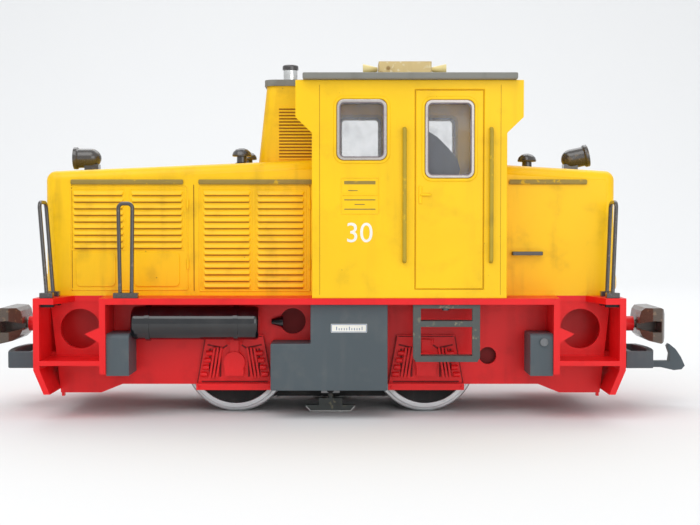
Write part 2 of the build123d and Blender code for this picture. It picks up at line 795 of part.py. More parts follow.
def make_drips():
    face = -hood_half_width
    low = drip_z - drip_height / 2
    return [block(x0, x1, face - drip_reach, face - piece_gap, low, low + drip_height)
            for x0, x1 in drip_spans]


def make_bar():
    face = -hood_half_width
    bar = block(bar_x[0], bar_x[1], face - 3.4, face - 1.8, bar_z - 0.9, bar_z + 0.9)
    for x in (bar_x[0], bar_x[1] - 1.6):
        bar += block(x, x + 1.6, face - 3.4, face - piece_gap, bar_z - 0.9, bar_z + 0.9)
    return bar


def make_roof_unit():
    z0 = cab_top + roof_edge_thickness + roof_crown + 0.1
    top = block(*roof_unit_x, *roof_unit_y, z0 - 2.0, z0 + roof_unit_height)
    return fillet(top.edges().filter_by(Axis.Z), 1.2) - make_roof()


def make_horn(sign):
    z = cab_top + roof_edge_thickness + roof_crown + 2.5
    x0 = roof_unit_x[1] + 0.2 if sign > 0 else roof_unit_x[0] - 0.2
    return Pos(x0 + sign * 3.6, sum(roof_unit_y) / 2, z) * (Rot(0, sign * 90, 0) * Cone(1.0, 2.6, 7.0))


# ---- couplers, buffers and pickups
def make_drawbar():
    bar = block(pivot_x, loop_back_x + 1, -drawbar_half, drawbar_half, drawbar_low, drawbar_high)
    bar += rod_z(drawbar_half + 1.0, drawbar_low, drawbar_high, pivot_x, 0)
    bar -= rod_z(pivot_radius + pivot_gap, drawbar_low - 1, drawbar_high + 1, pivot_x, 0)

    def ring(inset):
        half = loop_half_width - inset
        front = loop_front_x - inset
        back = loop_back_x + inset
        low = loop_low - (1 if inset else 0)
        edges = [Line((front, -half, low), (back, -half, low)), Line((back, -half, low), (back, half, low)),
                 Line((back, half, low), (front, half, low)),
                 ThreePointArc((front, half, low), (front + loop_bow, 0, low), (front, -half, low))]
        height = loop_high - loop_low + (2 if inset else 0)
        return Solid.extrude(make_face(Curve() + edges).face(), Vector(0, 0, height))

    loop = ring(0) - ring(loop_wall)
    return bar + loop


def make_rear_drawbar():
    bar = make_drawbar()
    clear = hook_half_width + hook_gap
    bar -= block(loop_front_x - loop_wall - 2, loop_front_x + 4, -clear, clear,
                 loop_low - 1, hook_arm_high + 1.0)
    for sign in (-1, 1):
        y0 = sign * clear
        bar += block(loop_back_x + 1, hook_pin_x + 2.4, y0, y0 + sign * 1.8, loop_low, hook_arm_high + 1.2)
    return bar + rod_y(hook_pin_radius, -clear - 1, clear + 1, hook_pin_x, hook_pin_z)


def make_hook():
    end = hook_end_x
    outline = [(hook_pin_x, hook_arm_low), (end - 12, hook_arm_low), (end - 5.3, 17.0), (end - 1.6, 17.4),
               (end, 19.2), (end - 2.0, 23.6), (end - 4.6, 27.4), (end - 7.8, hook_tip_z), (end - 8.7, 28.8),
               (end - 7.4, 25.0), (end - 7.8, hook_arm_high), (hook_pin_x, hook_arm_high)]
    hook = side_profile(outline, -hook_half_width, hook_half_width)
    hook += rod_y(2.4, -hook_half_width, hook_half_width, hook_pin_x, hook_pin_z)
    return hook - rod_y(hook_pin_radius + pivot_gap, -5, 5, hook_pin_x, hook_pin_z)


def make_buffer():
    """A wide bowl-backed plate with a recess in each end, on a shaft pushed into the boss."""
    face = buffer_face_x
    top = buffer_z + buffer_height / 2
    low = buffer_z - buffer_height / 2
    back = face - buffer_depth
    half = buffer_width / 2
    outline = [(face, top - 3.0), (face - 0.7, top - 0.7), (face - 2.2, top), (face - 9.0, top - 0.2),
               (face - 10.7, top - 1.8), (back, top - 5.0), (back, low + 6.0), (face - 10.2, low + 3.4),
               (face - 7.6, low + 1.3), (face - 2.0, low), (face - 0.5, low + 0.8), (face, low + 3.0)]
    plate = side_profile(outline, -half, half)
    plan = Polyline((face, -half + 2.4, low), (face, half - 2.4, low), (face - 1.4, half, low),
                    (face - 6.0, half, low), (back, half - 5.0, low), (back, -half + 5.0, low),
                    (face - 6.0, -half, low), (face - 1.4, -half, low), close=True)
    plate &= Solid.extrude(make_face(plan).face(), Vector(0, 0, buffer_height))
    recess = side_profile([(back - 1, buffer_z + 0.4), (face - 5.6, buffer_z + 2.3),
                           (face - 1.9, buffer_z + 2.1), (face - 1.9, buffer_z - 3.2),
                           (face - 5.6, buffer_z - 3.2), (back - 1, buffer_z - 1.6)], -half - 1, -buffer_web)
    plate -= recess
    plate -= other_side(recess)
    shaft = rod_x(buffer_shaft_radius, frame_half + buffer_boss_length + piece_gap, face - 1, 0, buffer_z)
    return plate + shaft


def make_shoe():
    """A pickup shoe: a long ski on two sliding posts."""
    ski = side_profile([(-shoe_half_length, shoe_low + 2.6), (-shoe_half_length + 2.2, shoe_low),
                        (shoe_half_length - 2.2, shoe_low), (shoe_half_length, shoe_low + 2.6),
                        (shoe_half_length, shoe_low + 3.2), (-shoe_half_length, shoe_low + 3.2)],
                       -shoe_y - shoe_width / 2, -shoe_y + shoe_width / 2)
    ski += block(-5.6, 5.6, -shoe_y - 1.4, -shoe_y + 1.4, shoe_low + 3.2, shoe_low + 6.4)
    return ski + rod_z(shoe_post[1] / 2, shoe_low + 6.0, shoe_low + shoe_post[0], 0, -shoe_y)


def make_shoe_guide():
    low = shoe_low + 6.4 + shoe_travel + 0.4
    guide = block(-4.0, 4.0, -shoe_y - 3.0, -block_width / 2 - piece_gap, low, low + 9.0)
    guide += block(-4.0, 4.0, -block_width / 2 - piece_gap, -block_width / 2 + 1.0, block_bottom, cavity_low)
    guide += block(-4.0, 4.0, -block_width / 2 - 2.0, -block_width / 2 - piece_gap, block_bottom, low)
    guide -= rod_z(shoe_post[1] / 2 + 0.1, low - 1, low + 7.5, 0, -shoe_y)
    return guide


# ---- inside pieces
def make_weight():
    return block(*weight_x, -12.0, 12.0, block_top + 4.0, block_top + 22.0)


def make_circuit_board():
    return block(*board_x, -14.0, 14.0, block_top + 7.0, block_top + 8.6)


def make_floor():
    floor = block(cab_front_x + cab_wall + 0.3, cab_rear_x - cab_wall - 0.3, -cab_half_width + cab_wall + 0.3,
                  cab_half_width - cab_wall - 0.3, floor_top - 2.0, floor_top)
    for x in floor_legs:
        floor += block(x, x + 3.0, -26, 26, deck_top + 0.1, floor_top - 2.0)
    return floor


def make_desk():
    low = floor_top + piece_gap
    slope = [(desk_x[0], low), (desk_x[1], low), (desk_x[1], low + 40.0), (desk_x[1] - 11.0, low + 40.0),
             (desk_x[0], low + 26.0)]
    return side_profile(slope, -desk_half_width, desk_half_width)


def make_lever():
    low = floor_top + piece_gap
    x, y = lever_place
    lever = rod_z(1.0, low, low + lever_height, x, y)
    return lever + Pos(x, y, low + lever_height + 1.0) * Sphere(2.2)


def make_plate_screws():
    screws = []
    for x in (-plate_screw_x, plate_screw_x):
        for y in (-plate_screw_y, plate_screw_y):
            screw = rod_z(2.2, block_bottom - 1.2, block_bottom - piece_gap, x, y)
            slot = block(x - 1.8, x + 1.8, y - 0.3, y + 0.3, block_bottom - 2, block_bottom - 0.7)
            screws.append(screw - slot)
    return screws


def make_screw_heads():
    """Silver screws on the battery boxes and under the ladders, on both sides."""
    heads = []
    for sign in (-1, 1):
        y0 = sign * (deck_half - 1.6 + piece_gap)
        heads.append(rod_y(1.8, y0, y0 + sign * 0.9, *box_screw))
        y1 = sign * (deck_half - 1.0 - ladder_depth - 3.4)
        heads.append(rod_z(1.7, deck_bottom - 3.0, deck_bottom - 1.85, sum(ladder_span) / 2, y1))
    return heads


def make_pivot_screws():
    screws = []
    for x in (-pivot_x, pivot_x):
        screw = rod_z(3.6, drawbar_low - 2.4, drawbar_low - 1.05, x, 0)
        screws.append(screw + rod_z(0.85, drawbar_low - 1.5, drawbar_low + 4.0, x, 0))
    return screws


write("frame", make_frame())
covers = both_sides(make_cover())
write("axlebox_covers", *covers, *[other_end(cover) for cover in covers])
side_pieces = {"fuel_tank": make_fuel_tank(), "air_tank": make_air_tank(), "pickup_shoe": make_shoe()}
for name, piece in side_pieces.items():
    write(f"{name}_left", piece)
    write(f"{name}_right", other_side(piece))
write("hairpin_handrails", *both_sides(make_hairpin()))
write("hood_bar_handles", *both_sides(make_bar()))
write("side_ladders", *both_sides(make_ladder()))
box = make_battery_box()
mirror_box = other_side(box)
write("battery_boxes", box, mirror_box, other_end(box), other_end(mirror_box))
write("air_tank_straps", *[band for strap in make_straps() for band in both_sides(strap)])
write("screw_heads", *make_screw_heads())

write("motor_block", make_motor_block())
write("motor_block_plate", make_plate())
write("plate_screws", *make_plate_screws())
write("axle_bushes", *make_bushes())
motor_half = motor_length / 2
can = rod_x(motor_radius, -motor_half, motor_half, 0, shaft_z)
write("motor_can", can - rod_x(shaft_radius + bush_clearance, -motor_half - 1, motor_half + 1, 0, shaft_z))
worm_reach = axle_x + worm_length / 2 + 1.0
write("motor_shaft", rod_x(shaft_radius, -worm_reach, worm_reach, 0, shaft_z))
write("worms", make_worm(-axle_x), make_worm(axle_x))
for end, x in (("front", -axle_x), ("rear", axle_x)):
    wheel = make_wheel(x)
    write(f"{end}_wheel_left", wheel)
    write(f"{end}_wheel_right", other_side(wheel))
    write(f"{end}_axle", make_axle(x))
    write(f"{end}_worm_wheel", make_worm_wheel(x))

write("long_hood", make_long_hood())
write("short_hood", make_short_hood())
write("exhaust_tower", make_tower())
write("tower_cap", make_tower_cap())
write("exhaust_stack", make_stack())
write("rain_cap", make_rain_cap())
write("cab_shell", make_cab())
write("cab_roof", make_roof())
write("window_frames", *[ring for frame in make_frames() for ring in both_sides(frame)])
panes = [pane for side in make_panes() for pane in both_sides(side)]
write("window_panes", *panes, *make_end_panes(cab_front_x + cab_wall + piece_gap, front_window_inner),
      *make_end_panes(cab_rear_x - cab_wall - piece_gap - 1.0, end_window_inner))
write("headlight_front", make_lamp(-1))
write("headlight_rear", make_lamp(1))
write("headlight_lenses", make_lens(-1), make_lens(1))
write("marker_lamps", *make_markers(-1), *make_markers(1))
write("roof_vents", make_vent(front_vent_x, -front_vent_y), make_vent(front_vent_x, front_vent_y),
      make_vent(rear_vent_x, 0))
corner_front = make_corner_rail(-1)
corner_rear = make_corner_rail(1)
write("corner_handrails", *both_sides(corner_front), *both_sides(corner_rear))
write("cab_grab_rails", *[side for x in grab_x for side in both_sides(make_grab(x))])
write("hood_drip_strips", *[side for strip in make_drips() for side in both_sides(strip)])
write("roof_unit", make_roof_unit())
write("roof_horns", make_horn(-1), make_horn(1))
write("ballast_weight", make_weight())
write("circuit_board", make_circuit_board())
write("cab_floor", make_floor())
write("control_desk", make_desk())
write("brake_lever", make_lever())

write("front_coupler", other_end(make_drawbar()))
write("rear_coupler", make_rear_drawbar())
write("coupler_hook", make_hook())
write("coupler_pivot_screws", *make_pivot_screws())
buffer = make_buffer()
write("front_buffer", other_end(buffer))
write("rear_buffer", buffer)
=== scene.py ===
# %% [markdown]
# # A model diesel locomotive, finished around its CAD frame
# The CAD model already holds the mouldings, wheels and rails at their sizes, so this
# lesson dresses it: it rounds the moulded edges, repeats the louvres and hinges with
# Geometry Nodes, and mixes one procedural finish for each kind of plastic and metal.

# %% Load the frame
import math

import bmesh
import bpy
from mathutils import Euler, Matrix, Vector


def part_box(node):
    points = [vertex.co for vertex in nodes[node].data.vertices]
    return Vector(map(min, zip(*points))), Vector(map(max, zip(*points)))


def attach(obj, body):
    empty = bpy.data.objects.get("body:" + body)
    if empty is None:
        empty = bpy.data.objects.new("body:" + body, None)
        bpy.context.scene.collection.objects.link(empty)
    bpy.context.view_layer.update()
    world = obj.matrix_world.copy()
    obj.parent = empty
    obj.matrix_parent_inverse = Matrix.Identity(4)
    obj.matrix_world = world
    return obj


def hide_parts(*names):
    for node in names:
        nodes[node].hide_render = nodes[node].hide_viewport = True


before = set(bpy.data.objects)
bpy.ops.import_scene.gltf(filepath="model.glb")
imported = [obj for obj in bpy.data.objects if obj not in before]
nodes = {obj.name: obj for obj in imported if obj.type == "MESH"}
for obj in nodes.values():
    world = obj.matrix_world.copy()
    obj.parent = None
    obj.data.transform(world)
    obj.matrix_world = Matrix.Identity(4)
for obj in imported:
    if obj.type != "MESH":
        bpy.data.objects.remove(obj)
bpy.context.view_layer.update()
MM = 0.001

# %% [markdown]
# ## The camera
# The locomotive is seen from its side, through a long lens a little above deck height
# that looks slightly down. The camera is set first, so that every later step can be
# judged by it.

# %% Camera
LENS_MM = 64.85
CAMERA_PLACE = (9.2 * MM, -617.5 * MM, 92.0 * MM)
CAMERA_DOWN = math.radians(2.07)


def make_camera():
    data = bpy.data.cameras.new("table_camera")
    data.lens = LENS_MM
    data.sensor_width = 36.0
    data.clip_start = 0.01
    camera = bpy.data.objects.new("table_camera", data)
    camera.location = CAMERA_PLACE
    camera.rotation_euler = (math.pi / 2 - CAMERA_DOWN, 0.0, 0.0)
    bpy.context.scene.collection.objects.link(camera)
    bpy.context.scene.camera = camera


make_camera()
print("camera at", CAMERA_PLACE)

# %% [markdown]
# ## The light
# Three wide soft lamps and a bright, slightly blue surround give the even light of a
# table by a window. Area lamps are used because their size softens the shadow edges.

# %% Lamps and surround
def soft_lamp(name, place, aim, size, power):
    data = bpy.data.lights.new(name, "AREA")
    data.shape = "RECTANGLE"
    data.size, data.size_y = size
    data.energy = power
    lamp = bpy.data.objects.new(name, data)
    lamp.location = place
    lamp.rotation_euler = (Vector(aim) - Vector(place)).to_track_quat("-Z", "Y").to_euler()
    bpy.context.scene.collection.objects.link(lamp)


def make_world(colour, strength):
    world = bpy.data.worlds.new("room")
    world.use_nodes = True
    ground = world.node_tree.nodes["Background"]
    ground.inputs["Color"].default_value = (*colour, 1.0)
    ground.inputs["Strength"].default_value = strength
    bpy.context.scene.world = world


make_world((0.94, 0.97, 1.0), 0.76)
soft_lamp("lamp_high", (-0.5, -1.0, 1.5), (0.0, 0.0, 0.05), (1.6, 1.2), 11.5)
soft_lamp("lamp_front", (0.7, -1.5, 0.5), (0.0, 0.0, 0.08), (1.2, 0.9), 5.5)
soft_lamp("lamp_back", (0.2, 0.9, 1.4), (0.0, 0.1, 0.0), (2.0, 1.0), 11.0)
print("lamps", len(bpy.data.lights))

# %% [markdown]
# ## The table
# The pale table sweeps up behind the locomotive in one curve, so no horizon line shows.
# It is one strip of faces along a side profile, smoothed where it bends.

# %% Table
def make_floor():
    """A table that sweeps up behind the object in one curve."""
    depth, rise, bend, half = 1.1, 1.6, 0.5, 3.0
    steps = 16
    profile = [(-2.4, 0.0), (depth, 0.0)]
    for index in range(1, steps + 1):
        turn = math.pi / 2 * index / steps
        profile.append((depth + bend * math.sin(turn), bend * (1 - math.cos(turn))))
    profile.append((depth + bend, rise))
    mesh = bpy.data.meshes.new("table")
    verts = [(x, y, z) for y, z in profile for x in (-half, half)]
    faces = [(2 * i, 2 * i + 1, 2 * i + 3, 2 * i + 2) for i in range(len(profile) - 1)]
    mesh.from_pydata(verts, [], faces)
    table = bpy.data.objects.new("table", mesh)
    for face in mesh.polygons:
        face.use_smooth = True
    bpy.context.scene.collection.objects.link(table)


make_floor()
bpy.context.scene.view_settings.view_transform = "Standard"
print("table faces", len(bpy.data.meshes["table"].polygons))

# %% [markdown]
# ## Shader maths as plain expressions
# A material is a graph of nodes, which is slow to read as code. `Val` wraps one socket
# and overloads the operators, so `1 - dirt * 0.5` adds its own Math nodes.

# %% Val
class Val:
    """One number or colour socket of a shader tree."""

    def __init__(self, finish, socket):
        self.finish = finish
        self.socket = socket

    def math(self, operation, other, swapped=False):
        pair = (other, self) if swapped else (self, other)
        return self.finish.node("ShaderNodeMath", {"operation": operation}, dict(enumerate(pair)))

    def __add__(self, other):
        return self.math("ADD", other)

    def __radd__(self, other):
        return self.math("ADD", other, True)

    def __sub__(self, other):
        return self.math("SUBTRACT", other)

    def __rsub__(self, other):
        return self.math("SUBTRACT", other, True)

    def __mul__(self, other):
        return self.math("MULTIPLY", other)

    def __rmul__(self, other):
        return self.math("MULTIPLY", other, True)

    def __truediv__(self, other):
        return self.math("DIVIDE", other)

    def above(self, low, high):
        """0 below low, 1 above high, smooth between."""
        settings = {"interpolation_type": "SMOOTHSTEP"}
        return self.finish.node("ShaderNodeMapRange", settings, {0: self, 1: low, 2: high, 3: 0.0, 4: 1.0})


print("Val works with", "+ - * / and above")

# %% [markdown]
# ## A material under construction
# `Finish` starts a material and hands out its textures. Every texture reads Object
# coordinates, which are in metres, so its grain keeps its true size on every piece.

# %% Finish
class Finish:
    """A material under construction: add nodes, then plug them into the shader."""

    def __init__(self, name, roughness=0.5, metallic=0.0):
        self.material = bpy.data.materials.new(name)
        self.material.use_nodes = True
        self.tree = self.material.node_tree
        self.shader = self.tree.nodes["Principled BSDF"]
        self.shader.inputs["Roughness"].default_value = roughness
        self.shader.inputs["Metallic"].default_value = metallic
        self.place = self.node("ShaderNodeTexCoord", out="Object")

    def node(self, kind, settings=None, values=None, out=0):
        made = self.tree.nodes.new(kind)
        for key, value in (settings or {}).items():
            setattr(made, key, value)
        for key, value in (values or {}).items():
            if isinstance(value, Val):
                self.tree.links.new(value.socket, made.inputs[key])
            else:
                made.inputs[key].default_value = value
        return Val(self, made.outputs[out])

    def feed(self, name, value):
        self.tree.links.new(value.socket, self.shader.inputs[name])

    def stretched(self, scale):
        return self.node("ShaderNodeMapping", {}, {"Vector": self.place, "Scale": scale})

    def noise(self, size_mm, detail=3.0, stretch=(1.0, 1.0, 1.0)):
        """Soft noise whose blobs are about size_mm across."""
        values = {"Vector": self.stretched(stretch), "Detail": detail, "Scale": 1.0 / (size_mm * MM)}
        return self.node("ShaderNodeTexNoise", {}, values)

    def specks(self, spacing_mm, share):
        """Small round specks, about one in every cell of spacing_mm."""
        values = {"Vector": self.place, "Scale": 1.0 / (spacing_mm * MM)}
        cells = self.node("ShaderNodeTexVoronoi", {}, values)
        return 1.0 - cells.above(share * 0.5, share)

    def mix(self, factor, first, second):
        values = {"Factor": factor, 6: first, 7: second}
        return self.node("ShaderNodeMix", {"data_type": "RGBA"}, values, out=2)

    def bump(self, value, strength, depth_mm):
        values = {"Height": value, "Strength": strength, "Distance": depth_mm * MM}
        self.feed("Normal", self.node("ShaderNodeBump", {}, values, out="Normal"))


def rgb(red, green, blue):
    """A colour given as 0 to 255 screen values, made linear."""
    return tuple((value / 255) ** 2.2 for value in (red, green, blue)) + (1.0,)


print("shader helpers ready")

# %% [markdown]
# ## Moulded plastics
# The body is self-coloured plastic with a satin skin: a little orange peel, faint clouding,
# brown grime that has settled in patches and a few dark specks. One function makes every
# moulded plastic, and each finish sets how dirty, how shiny and how worn it is.

# %% Plastic finishes
def plastic(name, colour, dirt_colour, roughness=0.38, dirt=0.25, specks=0.0, coat=0.0,
            peel=0.12, wear=None, shine=0.32):
    """Self-coloured plastic: dirt, specks and wear say how used it is, peel how rough."""
    finish = Finish(name, roughness)
    cloud = finish.noise(38.0, 4.0)
    patch = finish.noise(11.0, 6.0)
    streak = finish.noise(7.0, 4.0, (1.0, 1.0, 0.12))
    grain = finish.noise(0.5, 2.0)
    grime = (patch.above(0.5, 0.78) * 0.6 + streak.above(0.52, 0.8) * 0.5) * dirt
    tint = tuple(channel * 0.86 for channel in colour[:3]) + (1.0,)
    base = finish.mix(cloud.above(0.35, 0.7) * 0.5, colour, tint)
    base = finish.mix(grime, base, dirt_colour)
    rough = roughness + grime * 0.35 + (grain - 0.5) * 0.1
    if specks:
        spots = finish.specks(6.5, specks) * patch.above(0.45, 0.6)
        base = finish.mix(spots * 0.75, base, dirt_colour)
    if wear:
        rub = finish.noise(2.2, 6.0).above(0.56, 0.66) * finish.noise(16.0, 3.0).above(0.42, 0.6)
        base = finish.mix(rub * 0.8, base, wear)
        rough = rough + rub * 0.15
    finish.feed("Base Color", base)
    finish.feed("Roughness", rough)
    finish.shader.inputs["Coat Weight"].default_value = coat
    finish.shader.inputs["Coat Roughness"].default_value = 0.12
    finish.shader.inputs["Specular IOR Level"].default_value = shine
    finish.bump(grain + patch * 0.4, peel, 0.03)
    return finish.material


print("plastic recipe ready")

# %% [markdown]
# ### The colours of the mouldings
# Each colour is written as it looks on a screen, from 0 to 255, and `rgb` makes it
# linear. The yellow hoods are dirtier than the cab, and the worn pieces show a paler
# colour where their skin is rubbed.

# %% The plastic colours
GRIME = rgb(116, 78, 26)
SOOT = rgb(40, 38, 36)
DUST = rgb(150, 146, 138)
skins = {
    "cab_yellow": plastic("cab_yellow", rgb(252, 200, 8), GRIME, 0.36, 0.24, 0.04, 0.06),
    "hood_yellow": plastic("hood_yellow", rgb(253, 199, 8), GRIME, 0.38, 0.42, 0.06, 0.06),
    "frame_red": plastic("frame_red", rgb(232, 30, 34), rgb(120, 22, 20), 0.38, 0.3, 0.02, 0.06),
    "dark_grey": plastic("dark_grey", rgb(80, 89, 94), DUST, 0.46, 0.16, 0.0, 0.0, 0.2),
    "worn_grey": plastic("worn_grey", rgb(84, 88, 86), SOOT, 0.5, 0.4, 0.0, 0.0, 0.25, rgb(140, 134, 112)),
    "gloss_black": plastic("gloss_black", rgb(12, 16, 22), DUST, 0.14, 0.06, 0.0, 0.6, 0.03, None, 0.55),
    "matt_black": plastic("matt_black", rgb(30, 30, 31), DUST, 0.55, 0.14, 0.0, 0.0, 0.2),
    "roof_grey": plastic("roof_grey", rgb(128, 127, 120), rgb(86, 80, 66), 0.56, 0.5, 0.03, 0.0, 0.3),
    "brown_grey": plastic("brown_grey", rgb(88, 79, 70), SOOT, 0.28, 0.35, 0.0, 0.35, 0.12,
                          rgb(128, 110, 86)),
    "lamp_bronze": plastic("lamp_bronze", rgb(62, 58, 56), SOOT, 0.24, 0.3, 0.0, 0.5, 0.08,
                           rgb(104, 92, 76), 0.7),
    # Painted shade, laid round the inside of each silver window frame.
    "frame_shade_grey": plastic("frame_shade_grey", rgb(128, 116, 120), SOOT, 0.5, 0.3, 0.0, 0.0, 0.1),
    "bracket_grey": plastic("bracket_grey", rgb(176, 178, 180), SOOT, 0.45, 0.3, 0.0, 0.0, 0.1),
    "shadow_red": plastic("shadow_red", rgb(122, 10, 16), SOOT, 0.55, 0.3, 0.0, 0.0, 0.1),
    "strip_olive": plastic("strip_olive", rgb(150, 128, 62), rgb(92, 78, 48), 0.42, 0.6, 0.0, 0.0, 0.3,
                           rgb(214, 172, 34)),
    "grab_olive": plastic("grab_olive", rgb(176, 150, 48), rgb(116, 100, 54), 0.42, 0.6, 0.0, 0.0, 0.3,
                          rgb(222, 182, 40)),
    "tan_unit": plastic("tan_unit", rgb(222, 196, 138), rgb(134, 96, 44), 0.5, 0.9, 0.2, 0.0, 0.4,
                        rgb(238, 226, 190)),
    "horn_cream": plastic("horn_cream", rgb(232, 214, 150), rgb(150, 120, 60), 0.4, 0.4, 0.0, 0.1, 0.2),
    "lens_amber": plastic("lens_amber", rgb(236, 210, 150), rgb(170, 130, 70), 0.22, 0.2, 0.0, 0.4, 0.05),
    "desk_grey": plastic("desk_grey", rgb(112, 116, 130), SOOT, 0.5, 0.3, 0.0, 0.0, 0.2),
    "inside_brown": plastic("inside_brown", rgb(128, 66, 32), SOOT, 0.5, 0.3, 0.0, 0.0, 0.2),
    "board_green": plastic("board_green", rgb(34, 96, 58), SOOT, 0.4, 0.2, 0.0, 0.1, 0.1),
    "marking_white": plastic("marking_white", rgb(240, 238, 228), DUST, 0.45, 0.25, 0.0, 0.0, 0.1),
    "marking_blue": plastic("marking_blue", rgb(52, 96, 150), DUST, 0.45, 0.25, 0.0, 0.0, 0.1),
    # Dark brown for the panel joints, and painted shade in the louvre mouths and tower slots.
    "joint_and_shade_brown": plastic("joint_and_shade_brown", rgb(168, 116, 14), SOOT, 0.6, 0.4, 0.0, 0.0, 0.2),
}
print("plastic finishes", len(skins))

# %% [markdown]
# ## Metals and glazing
# The tyres are turned steel, dulled by running; the screws are plated; the window
# surrounds are silver foil. Glazing is clear plastic, which for a thin sheet is best made
# as a mostly transparent shader with a clean reflection.

# %% Metal and glass finishes
def metal(name, colour, roughness, stain, turned=False):
    finish = Finish(name, roughness, 1.0)
    cloud = finish.noise(6.0, 5.0)
    fine = finish.noise(0.35, 2.0)
    tarnish = cloud.above(0.5, 0.8) * 0.55
    finish.feed("Base Color", finish.mix(tarnish, colour, stain))
    finish.feed("Roughness", roughness + tarnish * 0.25 + (fine - 0.5) * 0.12)
    finish.feed("Metallic", 1.0 - tarnish * 0.3)
    finish.bump(fine, 0.25 if turned else 0.1, 0.02)
    return finish.material


def clear_plastic(name):
    finish = Finish(name, 0.04)
    smear = finish.noise(9.0, 4.0).above(0.45, 0.8)
    finish.feed("Base Color", finish.mix(smear, rgb(206, 210, 216), rgb(176, 180, 186)))
    finish.feed("Alpha", 0.1 + smear * 0.12)
    finish.feed("Roughness", 0.04 + smear * 0.14)
    return finish.material


skins["tyre_steel"] = metal("tyre_steel", rgb(205, 208, 210), 0.36, rgb(150, 148, 142), True)
skins["plated_steel"] = metal("plated_steel", rgb(222, 222, 220), 0.24, rgb(150, 142, 130))
skins["silver_foil"] = metal("silver_foil", rgb(190, 184, 178), 0.26, rgb(140, 128, 118))
skins["bright_brass"] = metal("bright_brass", rgb(206, 168, 92), 0.3, rgb(120, 90, 44))
skins["lead_grey"] = metal("lead_grey", rgb(120, 122, 124), 0.5, rgb(80, 80, 80))
skins["clear_pane"] = clear_plastic("clear_pane")
print("all finishes", len(skins))

# %% [markdown]
# ## Giving every CAD piece its finish
# The CAD meshes keep their shape. Each gets one finish, and the larger mouldings also get
# a welded, bevelled edge: a real moulding is never knife-sharp, and it is the tiny round
# on each corner that catches the light.

# %% Dress the CAD nodes
DRESS = {
    "cab_yellow": ["cab_shell"],
    "hood_yellow": ["long_hood", "short_hood", "exhaust_tower"],
    "frame_red": ["frame", "axlebox_covers"],
    "dark_grey": ["fuel_tank_left", "fuel_tank_right", "battery_boxes", "front_coupler", "rear_coupler",
                  "coupler_hook"],
    "worn_grey": ["side_ladders", "pickup_shoe_left", "pickup_shoe_right"],
    "gloss_black": ["air_tank_left", "air_tank_right", "air_tank_straps"],
    "matt_black": ["motor_block", "motor_block_plate", "front_worm_wheel", "rear_worm_wheel"],
    "roof_grey": ["cab_roof", "tower_cap"],
    "brown_grey": ["front_buffer", "rear_buffer"],
    "lamp_bronze": ["headlight_front", "headlight_rear", "roof_vents", "rain_cap", "hairpin_handrails",
                    "corner_handrails", "hood_bar_handles"],
    "strip_olive": ["hood_drip_strips"],
    "grab_olive": ["cab_grab_rails"],
    "tan_unit": ["roof_unit"],
    "horn_cream": ["roof_horns"],
    "lens_amber": ["marker_lamps"],
    "desk_grey": ["control_desk", "brake_lever"],
    "inside_brown": ["cab_floor"],
    "board_green": ["circuit_board"],
    "tyre_steel": ["front_wheel_left", "front_wheel_right", "rear_wheel_left", "rear_wheel_right"],
    "plated_steel": ["front_axle", "rear_axle", "motor_shaft", "plate_screws", "coupler_pivot_screws",
                     "exhaust_stack"],
    "silver_foil": ["window_frames"],
    "bright_brass": ["axle_bushes", "worms"],
    "lead_grey": ["ballast_weight", "motor_can", "screw_heads"],
    "clear_pane": ["window_panes", "headlight_lenses"],
}
BUFFER_ROUND_MM = 1.1
BUFFER_SEGMENTS = 3
BUFFER_SHARP_DEG = 16
ROUNDS_MM = {
    "frame": 0.3, "cab_shell": 0.3, "long_hood": 0.25, "short_hood": 0.25, "exhaust_tower": 0.2,
    "fuel_tank_left": 0.5, "fuel_tank_right": 0.5, "battery_boxes": 0.45, "cab_roof": 0.6, "tower_cap": 0.5,
    "side_ladders": 0.5, "front_coupler": 0.6, "rear_coupler": 0.5, "coupler_hook": 0.6,
    "axlebox_covers": 0.2, "roof_unit": 0.7, "hood_drip_strips": 0.5, "hood_bar_handles": 0.5,
    "pickup_shoe_left": 0.3, "pickup_shoe_right": 0.3, "headlight_front": 0.4, "headlight_rear": 0.4,
    "exhaust_stack": 0.25, "screw_heads": 0.25, "plate_screws": 0.2, "marker_lamps": 0.7,
    "window_frames": 0.25,
    "front_wheel_left": 0.3, "front_wheel_right": 0.3, "rear_wheel_left": 0.3,
    "rear_wheel_right": 0.3, "hairpin_handrails": 0.3, "corner_handrails": 0.3,
}


def round_edges(piece, width_mm, segments=2, sharp_deg=38):
    """Weld the piece's loose triangles and bevel its edges sharper than sharp_deg."""
    weld = piece.modifiers.new("weld", "WELD")
    weld.merge_threshold = 0.002 * MM
    bevel = piece.modifiers.new("edge_round", "BEVEL")
    bevel.width = width_mm * MM
    bevel.segments = segments
    bevel.limit_method = "ANGLE"
    bevel.angle_limit = math.radians(sharp_deg)
    bevel.use_clamp_overlap = True
    bevel.harden_normals = False


for skin, names in DRESS.items():
    for name in names:
        piece = nodes[name]
        piece.data.materials.clear()
        piece.data.materials.append(skins[skin])
for name, width in ROUNDS_MM.items():
    round_edges(nodes[name], width)
for name in ("front_buffer", "rear_buffer"):
    round_edges(nodes[name], BUFFER_ROUND_MM, BUFFER_SEGMENTS, BUFFER_SHARP_DEG)
undressed = set(nodes) - {name for names in DRESS.values() for name in names}
print("undressed nodes", sorted(undressed))

# %% [markdown]
# ## From a bmesh to a piece
# Finishing pieces are built in millimetres in the locomotive's own frame and shrunk to
# metres once. A piece for the left side (-Y) is mirrored to the right side inside one
# mesh, and its faces are turned outwards again afterwards.

# %% Finishing a mesh
def new_piece(name, mesh, skin, body="chassis"):
    """Put a finished mesh in the scene, give it a finish and let it ride on a body."""
    piece = bpy.data.objects.new(name, mesh)
    bpy.context.scene.collection.objects.link(piece)
    mesh.materials.clear()
    mesh.materials.append(skins[skin])
    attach(piece, body)
    return piece


